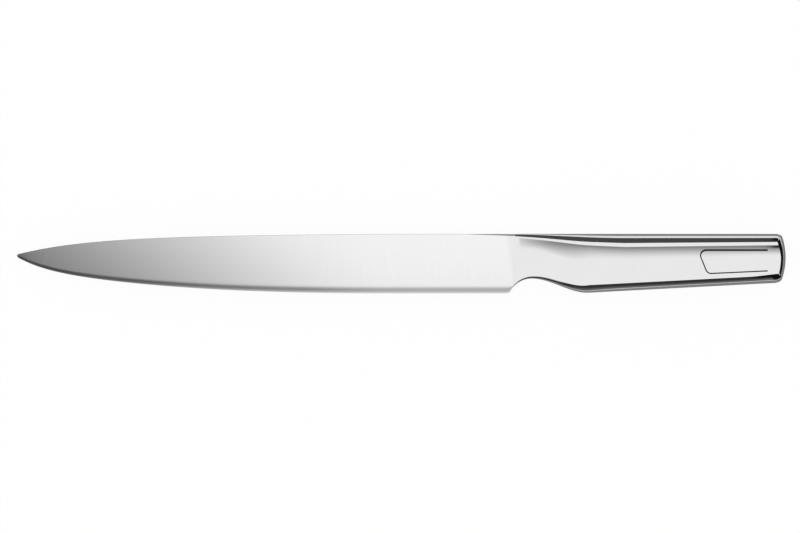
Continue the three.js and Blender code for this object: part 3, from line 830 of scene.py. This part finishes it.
# %% Faces of a skin
def skin_faces(count, width):
    """Corner numbers of the faces on a closed skin of count loops, with width points on each side."""
    size = 2 * width
    last = (count - 1) * size
    corners = []
    for r in range(count - 1):
        for c in range(size):
            d = (c + 1) % size
            corners.append((r * size + c, r * size + d, (r + 1) * size + d, (r + 1) * size + c))
    for c in range(width - 1):
        other = size - 1 - c
        corners.append((c, other, other - 1, c + 1))
        corners.append((last + c, last + c + 1, last + other - 1, last + other))
    return corners


def finished(name, shape, finish):
    """A shape made point by point, as an object with smooth faces and one finish."""
    for f in shape.faces:
        f.smooth = True
    mesh = bpy.data.meshes.new(name)
    shape.to_mesh(mesh)
    open_edges = sum(1 for e in shape.edges if len(e.link_faces) != 2)
    shape.free()
    mesh.materials.append(finish)
    print(name, "has", len(mesh.polygons), "faces and", open_edges, "open edges")
    return new_object(name, mesh)


print("faces of a skin through two slices:", len(skin_faces(2, len(full_slice))))

# %% [markdown]
# Where two faces meet at a clear angle the line between them stays sharp, and so do the lines of the ridge and the
# belly, because a polished handle shows them as crisp changes of light. Points that fall together are merged first.

# %% Skin from slices
sharp_angle = math.radians(24)
same_place = 1e-7
no_length = 1e-8


def skin(name, near, far, finish, sharp_columns=(), sharp_rows=()):
    """A closed mesh through pairs of lines: near[i] and far[i] are the two sides of slice i."""
    near, far = np.array(near), np.array(far)
    count, width = near.shape[:2]
    size = 2 * width
    loops = np.concatenate([near, far[:, ::-1]], axis=1)
    shape = bmesh.new()
    points = [shape.verts.new(p) for p in (loops.reshape(-1, 3) + origin) * MM]
    for face in skin_faces(count, width):
        shape.faces.new([points[k] for k in face])
    shape.verts.index_update()
    lines = set()
    for c in sharp_columns:
        for k in (c, size - 1 - c):
            lines.update((r * size + k, (r + 1) * size + k) for r in range(count - 1))
    for r in sharp_rows:
        lines.update((r * size + c, r * size + (c + 1) % size) for c in range(size))
    for e in shape.edges:
        ends = tuple(sorted(v.index for v in e.verts))
        e.smooth = ends not in lines
    bmesh.ops.remove_doubles(shape, verts=shape.verts[:], dist=same_place)
    bmesh.ops.dissolve_degenerate(shape, edges=shape.edges[:], dist=no_length)
    bmesh.ops.recalc_face_normals(shape, faces=shape.faces[:])
    for e in shape.edges:
        if len(e.link_faces) == 2 and e.calc_face_angle() > sharp_angle:
            e.smooth = False
    return finished(name, shape, finish)


print("sharp lines above", round(math.degrees(sharp_angle)), "degrees")

# %% [markdown]
# ## The neck
# The neck is one solid piece, forged and ground, that carries the flat tang into the round handle. Its back end is
# stepped down to a spigot, and the two shells of the handle slide over that.

# %% Neck
neck_rows = 110
shell_start = 29
neck_weld_width = 1.2
neck_weld_depth = 0.7
root_gap = 0.1
shell_wall = 1.2
spigot_gap = 0.15
spigot_length = 8

neck_places = np.linspace(weld_place + blade_weld_width / 2, shell_start - neck_weld_width / 2, neck_rows)
neck_slices = [(v, slice_at(v)) for v in neck_places]
neck_back = shell_start - root_gap / 2
step = slice_at(neck_back)
neck_slices.append((neck_back, shrink(step, neck_weld_depth)))
neck_slices.append((neck_back, shrink(step, shell_wall + spigot_gap)))
neck_slices.append((shell_start + spigot_length, shrink(step, shell_wall + spigot_gap)))
neck = skin(
    "forged_neck",
    [placed(v, outline) for v, outline in neck_slices],
    [placed(v, outline, -1) for v, outline in neck_slices],
    polished_steel,
    sharp_columns=(ridge_column, crease_column),
)

# %% [markdown]
# ## The handle shells
# The rest of the handle is two pressed shells, one for each side, welded together along the middle. Towards the butt
# the end bows out, so each slice is bent into an arc seen from the side, a little more with every slice. The middle of
# the bow sits a hair above the middle of the handle. The rim of the butt is rounded over: its slices shrink along a
# quarter circle that starts at a slant, which leaves a crisp line. Above the middle that line leans further towards the
# blade than the outline does, as a wheel leaves it that is held at an angle.

# %% Butt rim and bow
butt_bow, bow_rise = 26, 0.35
butt_lean = 0.0315
butt_edge = 1.95
butt_corner = 1.15
butt_tilt = math.radians(28)
rim_radius = butt_edge / (1 - math.sin(butt_tilt))
rim_start = handle_length - butt_edge
rim_half = handle_thickness / 2 - rim_radius * math.cos(butt_tilt)
corner_share = butt_corner / (rim_radius * math.cos(butt_tilt))
seam_width = 1


def rim_inset(x):
    """How far the rounded rim has drawn in at x."""
    along = max(0, x - rim_start) + rim_radius * math.sin(butt_tilt)
    return rim_radius * math.cos(butt_tilt) - math.sqrt(max(0, rim_radius ** 2 - along ** 2))


def shell_line(x, inset, draw, drop):
    """One line on a skin of the left shell, bowed near the butt. It leaves room for the weld."""
    outline = shrink(slice_at(x), inset, inset + drop)
    side = np.clip(np.arange(len(outline)), ridge_column, crease_column)
    half = np.clip(outline[:, 1], seam_width / 2, outline[side, 1] - draw)
    level = outline[:, 0] + depth_at(x) / 2 - bow_rise
    lean = butt_lean * np.maximum(level, 0) * np.maximum(half - rim_half, 0)
    bow = butt_bow - np.sqrt(butt_bow ** 2 - level ** 2) + lean
    share = min(max((x - shell_start) / (handle_length - shell_start), 0), 1)
    return np.column_stack([x - bow * share, outline[:, 0], half])


print("rim radius in mm:", round(rim_radius, 2))

# %% [markdown]
# A pressed shell has the same wall all over, so its outer and inner skin come from the same slices, one wall's
# thickness apart, and a last line on the seam ends each of them. The slices lie close together round the rim, where the
# shape turns fastest. The right shell is the mirror of the left one.

# %% Handle shells
flare_rows = 40
body_rows = 50
rim_rows = 18

shell_root = shell_start + root_gap / 2
rim_angles = np.linspace(butt_tilt, math.pi / 2, rim_rows)
shell_places = np.concatenate([
    [shell_root],
    np.linspace(shell_start + neck_weld_width / 2, flare_end, flare_rows),
    np.linspace(flare_end, rim_start, body_rows)[1:-1],
    rim_start + rim_radius * (np.sin(rim_angles) - math.sin(butt_tilt)),
])
rim_row = len(shell_places) - rim_rows


def shell_skin(thickness, groove):
    """All lines of one skin, from the neck to the butt, and a last line on the seam."""
    length = handle_length - shell_root
    lines = []
    for i, place in enumerate(shell_places):
        x = shell_root + (place - shell_root) * (length - thickness) / length
        inset = thickness + groove if i == 0 else thickness
        draw = rim_inset(place)
        lines.append(shell_line(x, inset, draw, draw * corner_share))
    end = lines[-1].copy()
    end[:, 2] = seam_width / 2
    return np.array(lines + [end])


outer = shell_skin(0, neck_weld_depth)
inner = shell_skin(shell_wall, 0)
mirror = np.array([1, 1, -1])
shell_creases = {"sharp_columns": (ridge_column, crease_column), "sharp_rows": (rim_row,)}
left_shell = skin("left_shell", outer, inner, polished_steel, **shell_creases)
right_shell = skin("right_shell", outer * mirror, inner * mirror, polished_steel, **shell_creases)

# %% [markdown]
# ## Welds across the handle
# The tang is thin, so its weld goes right through: a slab of filler metal between blade and neck. The shells are
# welded to the neck by a ring that fills a groove. Both are ground flush, so their outsides follow the same slices.

# %% Weld slab and weld ring
weld_rows = 5
slab_places = np.linspace(weld_place - blade_weld_width / 2, weld_place + blade_weld_width / 2, weld_rows)
blade_weld = skin(
    "blade_weld_slab",
    [placed(v, slice_at(v)) for v in slab_places],
    [placed(v, slice_at(v), -1) for v in slab_places],
    weld_metal,
    sharp_columns=(ridge_column,),
)


def weld_ring(name, place, reach, depth, finish):
    """A closed ring around the handle: its outside is flush and its inside comes to a root."""
    slices = [(v, slice_at(v)) for v in np.linspace(place - reach, place + reach, weld_rows)]
    slices.append((place, shrink(slice_at(place), depth)))
    loops = [np.vstack([placed(v, o)[:-1], placed(v, o, -1)[:0:-1]]) for v, o in slices]
    size = len(loops[0])
    shape = bmesh.new()
    points = [[shape.verts.new((p + origin) * MM) for p in loop] for loop in loops]
    for a, b in zip(points, points[1:] + points[:1]):
        for c in range(size):
            shape.faces.new((a[c], a[(c + 1) % size], b[(c + 1) % size], b[c]))
    bmesh.ops.recalc_face_normals(shape, faces=shape.faces[:])
    for e in shape.edges:
        e.smooth = e.calc_face_angle() < sharp_angle
    for a, b in zip(points[:-2], points[1:-1]):
        for c in (ridge_column, crease_column, size - ridge_column, size - crease_column):
            shape.edges.get((a[c], b[c])).smooth = False
    return finished(name, shape, finish)


neck_weld = weld_ring("neck_weld_ring", shell_start, neck_weld_width / 2, neck_weld_depth, weld_metal)

# %% [markdown]
# ## Seam welds
# Three runs of weld join the shells: along the back, along the belly and round the butt. Each follows a path on the
# middle plane and has the same small section all the way, so Geometry Nodes sweep a rectangle along the path. The path
# lies half-way through the wall.

# %% Seam runs
seam_sizes = {"Width": seam_width * MM, "Depth": shell_wall * MM}


def seam_tree():
    tree, size = new_tree("seam_weld_run", seam_sizes, takes_path=True)
    path = add(tree, "GeometryNodeMeshToCurve", {"Mesh": size["Geometry"]})
    upright = add(tree, "GeometryNodeSetCurveNormal", {"Curve": path.outputs[0]}, mode="Z_UP")
    section = add(tree, "GeometryNodeCurvePrimitiveQuadrilateral", {
        "Width": size["Depth"], "Height": size["Width"]})
    swept = add(tree, "GeometryNodeCurveToMesh", {
        "Curve": upright.outputs[0], "Profile Curve": section.outputs[0], "Fill Caps": True})
    solid = add(tree, "GeometryNodeRealizeInstances", {"Geometry": swept.outputs[0]})
    dressed = add(tree, "GeometryNodeSetMaterial", {"Geometry": solid.outputs[0], "Material": weld_metal})
    add(tree, "NodeGroupOutput", {"Geometry": dressed.outputs[0]})
    return tree


def path_object(name, points):
    """An object that is only a line through points."""
    spots = (np.array(points) + origin) * MM
    steps = [(i, i + 1) for i in range(len(points) - 1)]
    mesh = bpy.data.meshes.new(name)
    mesh.from_pydata(spots.tolist(), steps, [])
    return new_object(name, mesh)


wall_middle = (outer + inner) / 2
wall_middle[:, :, 2] = 0
spine_path = wall_middle[1:rim_row + 1, 0]
belly_path = wall_middle[1:rim_row + 1, -1]
butt_path = np.vstack([
    wall_middle[rim_row:-1, 0], wall_middle[-1, 1:-1], wall_middle[rim_row:-1, -1][::-1]])
seam_rule = seam_tree()
seams = {
    "spine_seam_weld": run_tree(path_object("spine_seam_run", spine_path), seam_rule, seam_sizes),
    "belly_seam_weld": run_tree(path_object("belly_seam_run", belly_path), seam_rule, seam_sizes),
    "butt_seam_weld": run_tree(path_object("butt_seam_run", butt_path), seam_rule, seam_sizes),
}

# %% [markdown]
# ## The printed line
# A thin black line frames the side of the handle near the butt: along the top, round a slanting end, and back along the
# bottom. Its plain path is four points, measured back from the heel and down from the spine.

# %% Path of the printed line
stripe_end = 104.8
stripe_top = 6.56
stripe_top_corner = 76.35
stripe_bottom = 16.11
stripe_bottom_corner = 80.3
stripe_rise = 1.12
stripe_path = [
    (stripe_end, -stripe_top, 0),
    (stripe_top_corner, -stripe_top, 0),
    (stripe_bottom_corner, -stripe_bottom, 0),
    (stripe_end, -stripe_bottom + stripe_rise, 0),
]
print("path of the line in mm:", stripe_path)

# %% [markdown]
# The line lies on a hollow surface, so a flat drawing wouldn't touch it everywhere. Geometry Nodes round the corners of
# the path, cut it into short steps, drop these straight down onto the left shell, and sweep a flat ribbon of ink along
# them. Below its top corner the ribbon is narrower.

# %% Printed line
corner_points = 12
drop_reach = 1.0
stripe_sizes = {
    "Side": left_shell,
    "Width": 0.74 * MM,
    "Lower Share": 0.66,
    "Top": (spine - stripe_top) * MM,
    "Film": 0.06 * MM,
    "Corner Radius": 2.2 * MM,
    "Step": 0.2 * MM,
    "Drop From": 50 * MM,
    "Lift": 0.08 * MM,
}


def stripe_tree():
    tree, size = new_tree("printed_line", stripe_sizes, takes_path=True)
    path = add(tree, "GeometryNodeMeshToCurve", {"Mesh": size["Geometry"]})
    rounded = add(tree, "GeometryNodeFilletCurve", {
        "Curve": path.outputs[0], "Radius": size["Corner Radius"],
        "Count": corner_points, "Limit Radius": True}, mode="POLY")
    stepped = add(tree, "GeometryNodeResampleCurve", {
        "Curve": rounded.outputs[0], "Length": size["Step"]}, mode="LENGTH")
    side = add(tree, "GeometryNodeObjectInfo", {"Object": size["Side"]})
    here = add(tree, "GeometryNodeInputPosition")
    high = add(tree, "ShaderNodeCombineXYZ", {"Z": size["Drop From"]})
    start = add(tree, "ShaderNodeVectorMath", {0: here.outputs[0], 1: high.outputs[0]}, operation="ADD")
    drop = add(tree, "GeometryNodeRaycast", {
        "Target Geometry": side.outputs["Geometry"], "Source Position": start.outputs[0],
        "Ray Direction": (0, 0, -1), "Ray Length": drop_reach})
    lift = add(tree, "ShaderNodeCombineXYZ", {"Z": size["Lift"]})
    laid = add(tree, "GeometryNodeSetPosition", {
        "Geometry": stepped.outputs[0],
        "Position": drop.outputs["Hit Position"], "Offset": lift.outputs[0]})
    height = add(tree, "ShaderNodeSeparateXYZ", {0: here.outputs[0]}).outputs["Y"]
    corner = add(tree, "ShaderNodeMath", {0: size["Top"], 1: size["Corner Radius"]}, operation="SUBTRACT")
    share = add(tree, "ShaderNodeMapRange", {
        "Value": height, "From Min": corner.outputs[0], "From Max": size["Top"],
        "To Min": size["Lower Share"]})
    upright = add(tree, "GeometryNodeSetCurveNormal", {"Curve": laid.outputs[0]}, mode="Z_UP")
    ribbon = add(tree, "GeometryNodeCurvePrimitiveQuadrilateral", {
        "Width": size["Width"], "Height": size["Film"]})
    swept = add(tree, "GeometryNodeCurveToMesh", {
        "Curve": upright.outputs[0], "Profile Curve": ribbon.outputs[0],
        "Scale": share.outputs[0], "Fill Caps": True})
    solid = add(tree, "GeometryNodeRealizeInstances", {"Geometry": swept.outputs[0]})
    dressed = add(tree, "GeometryNodeSetMaterial", {"Geometry": solid.outputs[0], "Material": black_ink})
    add(tree, "NodeGroupOutput", {"Geometry": dressed.outputs[0]})
    return tree


stripe = run_tree(path_object("printed_line", stripe_path), stripe_tree(), stripe_sizes)
line_low, line_high = stripe.bound_box[0][2] / MM, stripe.bound_box[6][2] / MM
print("line's height above the table in mm:", round(line_low, 2), "to", round(line_high, 2))

# %% [markdown]
# ## Pieces and solids
# Each finished piece takes the place of its solid and rides on the knife's one body. The balance weight and its tack
# weld are shut inside the handle. Their solids already have the right shape, so they only get their steel.

# %% Put the pieces in place
pieces = {
    "blade": (blade, "satin_steel"),
    "neck": (neck, "polished_steel"),
    "left_handle_shell": (left_shell, "polished_steel"),
    "right_handle_shell": (right_shell, "polished_steel"),
    "blade_weld": (blade_weld, "weld_filler"),
    "neck_weld": (neck_weld, "weld_filler"),
    "spine_seam_weld": (seams["spine_seam_weld"], "weld_filler"),
    "belly_seam_weld": (seams["belly_seam_weld"], "weld_filler"),
    "butt_seam_weld": (seams["butt_seam_weld"], "weld_filler"),
    "pinstripe": (stripe, "black_print"),
}
for node, (piece, slot) in pieces.items():
    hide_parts(node)
    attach(piece, "root")
for node in ("balance_weight", "weight_tack_weld"):
    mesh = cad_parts[node].data
    mesh.materials.clear()
    mesh.materials.append(raw_steel)
print("pieces:", len(pieces), "and two solids kept")

# %% [markdown]
# ## The studio
# Polished steel is all reflection, so the room is what gives it shape. It is a plain one: a white floor in a white
# room, one soft panel of light overhead, and dark cards both near the knife and far from it. All of it is flat sheets,
# so two small functions make them: one for any corners, and one for a rectangle that lies flat.

# %% Sheets of the room
def stage_sheet(name, corners, finish):
    """A flat sheet that belongs to the room, with its corners in metres."""
    mesh = bpy.data.meshes.new(name)
    mesh.from_pydata(corners, [], [tuple(range(len(corners)))])
    mesh.materials.append(finish)
    sheet = new_object(name, mesh)
    return sheet


def level_sheet(name, left, right, front, back, height, finish):
    """A rectangle that lies flat at a height."""
    corners = [(left, front), (right, front), (right, back), (left, back)]
    return stage_sheet(name, [(*corner, height) for corner in corners], finish)


print("knife's top above the floor in metres:", round(cad_high.z, 4))

# %% [markdown]
# The floor is white paper. Most of its white is its own glow, for the camera and for rays that come off the steel, so
# that the background is even. The rest is lit paper, which keeps the soft shadow under the knife.

# %% Floor
floor_reach = 6
floor_glow = 0.95


def white_paper_floor():
    finish, tree = new_finish("white_paper_floor")
    rays = add(tree, "ShaderNodeLightPath").outputs
    paper = add(tree, "ShaderNodeBsdfDiffuse", {"Color": linear("#F8F8F8")})
    glow = add(tree, "ShaderNodeEmission", {"Color": linear("#FFFFFF"), "Strength": 1.0})
    mirrored = add(tree, "ShaderNodeMath", {
        0: rays["Is Glossy Ray"], 1: rays["Is Transmission Ray"]}, operation="ADD")
    seen = add(tree, "ShaderNodeMath", {
        0: rays["Is Camera Ray"], 1: mirrored.outputs[0]}, operation="ADD", use_clamp=True)
    share = add(tree, "ShaderNodeMath", {0: seen.outputs[0], 1: floor_glow}, operation="MULTIPLY")
    mixed = add(tree, "ShaderNodeMixShader", {0: share.outputs[0], 1: paper.outputs[0], 2: glow.outputs[0]})
    add(tree, "ShaderNodeOutputMaterial", {"Surface": mixed.outputs[0]})
    return finish


level_sheet("floor", -floor_reach, floor_reach, -floor_reach, floor_reach, 0, white_paper_floor())
print("floor:", 2 * floor_reach, "m across")

# %% [markdown]
# One wide panel hangs above the knife. It fades towards the tip, which is why the blade shades from white to grey, and
# the fade leans, so that the grey reaches further along the edge than along the spine. It also fades towards the front.
# The hollow under the handle's ridge and the bevel of the blade lean that way, so they show the fade as soft shading.

# %% Overhead panel
panel_height = 0.22
panel_left, panel_right = -0.30, 0.24
panel_front, panel_back = -0.125, 0.074
panel_light = 1.12
steep_fade = {"From Min": -0.1877, "From Max": -0.0457}
slow_fade = {"From Min": -0.19, "From Max": -0.0457, "To Min": 0.146, "To Max": 0.606}
tip_lean, lean_stop = 1.45, -0.025
towards_front = {"From Min": -0.095, "From Max": -0.02, "To Min": 0.2}


def soft_light():
    """Light that fades towards the tip and towards the front."""
    finish, tree = new_finish("soft_panel_light")
    spot = add(tree, "ShaderNodeTexCoord").outputs["Object"]
    place = add(tree, "ShaderNodeSeparateXYZ", {0: spot}).outputs
    held = add(tree, "ShaderNodeMath", {0: place["Y"], 1: lean_stop}, operation="MAXIMUM")
    leaning = add(tree, "ShaderNodeMath", {
        0: held.outputs[0], 1: tip_lean, 2: place["X"]}, operation="MULTIPLY_ADD")
    steep = add(tree, "ShaderNodeMapRange", {"Value": leaning.outputs[0], **steep_fade})
    slow = add(tree, "ShaderNodeMapRange", {"Value": leaning.outputs[0], **slow_fade})
    along = add(tree, "ShaderNodeMath", {0: steep.outputs[0], 1: slow.outputs[0]}, operation="MAXIMUM")
    across = add(tree, "ShaderNodeMapRange", {
        "Value": place["Y"], **towards_front}, interpolation_type="SMOOTHSTEP")
    level = add(tree, "ShaderNodeMath", {0: along.outputs[0], 1: across.outputs[0]}, operation="MULTIPLY")
    strength = add(tree, "ShaderNodeMath", {0: level.outputs[0], 1: panel_light}, operation="MULTIPLY")
    glow = add(tree, "ShaderNodeEmission", {"Color": linear("#FFFFFF"), "Strength": strength.outputs[0]})
    add(tree, "ShaderNodeOutputMaterial", {"Surface": glow.outputs[0]})
    return finish


panel = level_sheet("panel", panel_left, panel_right, panel_front, panel_back, panel_height, soft_light())
print("panel:", round(panel_right - panel_left, 2), "by", round(panel_back - panel_front, 2), "m")

# %% [markdown]
# ## Dark cards
# The dark lines along the handle are mirrored cards. In a studio they are sheets of painted board. Here each one glows
# by itself at the level of its grey, so that the grey is the same wherever the card stands. The card in front goes from
# grey at the floor to dark at its top. The grey sheet under the knife is painted shadow: it stands in for the knife's
# own shadow on the floor, and it is darker beside the blade than beside the handle.

# %% Card finishes
front_tall = 0.0165
front_fade = {"From Max": front_tall, "To Min": 0.25, "To Max": 0.044}
# painted shadow under the knife, seen only in the steel: darker beside the blade than beside the handle
painted_shadow_fade = {"From Min": 0.046, "From Max": 0.056, "To Min": 0.09, "To Max": 0.26}


def plain_card(name, code):
    """A card of one grey."""
    finish, tree = new_finish(name)
    glow = add(tree, "ShaderNodeEmission", {"Color": linear(code), "Strength": 1.0})
    add(tree, "ShaderNodeOutputMaterial", {"Surface": glow.outputs[0]})
    return finish


def fading_card(name, axis, fade):
    """A card that glows by another level further along one axis."""
    finish, tree = new_finish(name)
    spot = add(tree, "ShaderNodeTexCoord").outputs["Object"]
    place = add(tree, "ShaderNodeSeparateXYZ", {0: spot}).outputs
    level = add(tree, "ShaderNodeMapRange", {"Value": place[axis], **fade})
    glow = add(tree, "ShaderNodeEmission", {"Color": linear("#FFFFFF"), "Strength": level.outputs[0]})
    add(tree, "ShaderNodeOutputMaterial", {"Surface": glow.outputs[0]})
    return finish


charcoal = plain_card("charcoal_card", "#4E4E4E")
dark = plain_card("dark_card", "#383838")
black = plain_card("black_card", "#141414")
front_finish = fading_card("front_card", "Z", front_fade)
# the finish of the painted shadow that lies under the knife
painted_shadow_finish = fading_card("mat", "X", painted_shadow_fade)
print("card finishes:", charcoal.name, dark.name, black.name, front_finish.name, painted_shadow_finish.name)

# %% [markdown]
# Near the knife the cards stand like a low fence: charcoal behind it and past the tip, the fading card in front, and
# black round the butt, so that the lines along the handle end dark. The card at the butt starts above the floor, which
# leaves a thin light line under it.

# %% Fence round the knife
fence_left, fence_corner, fence_right = -0.26, 0.1505, 0.205
fence_back, fence_front, front_split = 0.1, -0.03, 0.1536
fence_tall, corner_tall, front_corner_tall = 0.024, 0.12, 0.022
butt_low, butt_tall = 0.008, 0.02


def wall(name, start, end, heights, finish):
    """An upright card over a line on the floor."""
    low, high = heights
    return stage_sheet(name, [(*start, low), (*end, low), (*end, high), (*start, high)], finish)


back_left, back_middle, back_right = [(v, fence_back) for v in (fence_left, fence_corner, fence_right)]
front_left, front_middle, front_right = [(v, fence_front) for v in (fence_left, front_split, fence_right)]
cards = [
    wall("back_card", back_left, back_middle, (0, fence_tall), charcoal),
    wall("back_corner_card", back_middle, back_right, (0, corner_tall), black),
    wall("butt_card", front_right, back_right, (butt_low, butt_tall), black),
    wall("front_card", front_left, front_middle, (0, front_tall), front_finish),
    wall("front_corner_card", front_middle, front_right, (0, front_corner_tall), black),
    wall("tip_card", front_left, back_left, (0, fence_tall), charcoal),
]
print("fence cards:", len(cards))

# %% [markdown]
# A rounded back or belly mirrors a wide sweep of the room, far beyond a low fence. Larger cards fill the rest of that
# sweep from about a metre away: behind, in front, at the butt and past the tip. The ones behind and in front get wider
# towards the top. Between the cards the corners of the room are open or covered only high up, so the flat sides still
# mirror white when the knife is seen from another side.

# %% Cards a metre away
far, far_low = 1.0, 0.1
far_split, far_right, far_front_split = 0.151, 0.7, 0.24
far_back_left, far_back_top_left, far_back_top = -0.45, -1.35, 3.3
far_front_left, far_front_top_left, far_front_top = -0.7, -2.1, 2.1
far_butt_front, far_butt_back = -0.55, 0.45
far_tip, far_tip_half = -1.2, 0.4
far_back_heights = (far_low, far_back_top)
far_front_heights = (far_low, far_front_top)
far_butt_heights = (far_low, 2.2)
far_tip_heights = (far_low, 1.5)
top_corner_heights = (0.42, far_back_top)
low_corner_heights = (0.95, 2.4)

cards += [
    stage_sheet("far_back_card", [
        (far_back_left, far, far_low), (far_split, far, far_low),
        (far_split, far, far_back_top), (far_back_top_left, far, far_back_top)], charcoal),
    wall("far_back_corner_card", (far_split, far), (far_right, far), far_back_heights, black),
    wall("far_butt_card", (far, far_butt_front), (far, far_butt_back), far_butt_heights, black),
    wall("far_top_corner_card", (far_right, far), (far, far_butt_back), top_corner_heights, black),
    wall("far_low_corner_card", (far_right, -far), (far, far_butt_front), low_corner_heights, black),
    wall("far_front_corner_card", (far_front_split, -far), (far_right, -far), far_front_heights, black),
    stage_sheet("far_front_card", [
        (far_front_left, -far, far_low), (far_front_split, -far, far_low),
        (far_front_split, -far, far_front_top), (far_front_top_left, -far, far_front_top)], dark),
    wall("far_tip_card", (far_tip, -far_tip_half), (far_tip, far_tip_half), far_tip_heights, charcoal),
]
print("near and far cards:", len(cards))

# %% [markdown]
# Two more sheets lie flat. A black strip hangs just under the front right corner of the panel: the hollow below the
# ridge mirrors it, so its shading ends in black near the butt. Under the knife lies a grey sheet of painted shadow: it
# stands in for the knife's own shadow on the floor, as the steel mirrors it. The strip of white floor between that
# sheet and the fence is the thin light line along the back and round the upper corner of the butt. Only the steel sees
# the
# panel, the cards and the painted shadow: the camera looks past them, and they neither light nor shade the floor.

# %% Shade and painted shadow
shade_left, shade_front, shade_drop = 0.1516, -0.074, 0.002
shade_height = panel_height - shade_drop
# the grey sheet of painted shadow under the knife, where the knife's own shadow would lie on the floor
painted_shadow_front, painted_shadow_back, painted_shadow_lift = -0.025, 0.0245, 0.0005
painted_shadow_reach, painted_shadow_right, painted_shadow_corner = 0.24, 0.183, 0.033
painted_shadow_outline = [
    (fence_left, painted_shadow_front), (painted_shadow_reach, painted_shadow_front), (painted_shadow_reach, 0),
    (painted_shadow_right, painted_shadow_corner), (fence_corner, painted_shadow_back), (fence_left, painted_shadow_back)]

cards += [
    level_sheet("butt_shade", shade_left, panel_right, panel_front, shade_front, shade_height, black),
    stage_sheet("mat", [(*corner, painted_shadow_lift) for corner in painted_shadow_outline], painted_shadow_finish),
]
for sheet in [panel] + cards:
    sheet.visible_camera = False
    sheet.visible_diffuse = False
    sheet.visible_shadow = False
print("sheets that only the steel sees:", len(cards) + 1)

# %% [markdown]
# The room itself is plain white light from all sides, at a level where a colour looks as it is written.

# %% Room light
world = bpy.data.worlds.new("white_room")
world.use_nodes = True
world.node_tree.nodes.clear()
room = add(world.node_tree, "ShaderNodeBackground", {"Color": linear("#FFFFFF"), "Strength": 1.0})
add(world.node_tree, "ShaderNodeOutputWorld", {"Surface": room.outputs[0]})
bpy.context.scene.world = world
bpy.context.scene.view_settings.view_transform = "Standard"
print("room light:", room.inputs["Strength"].default_value)
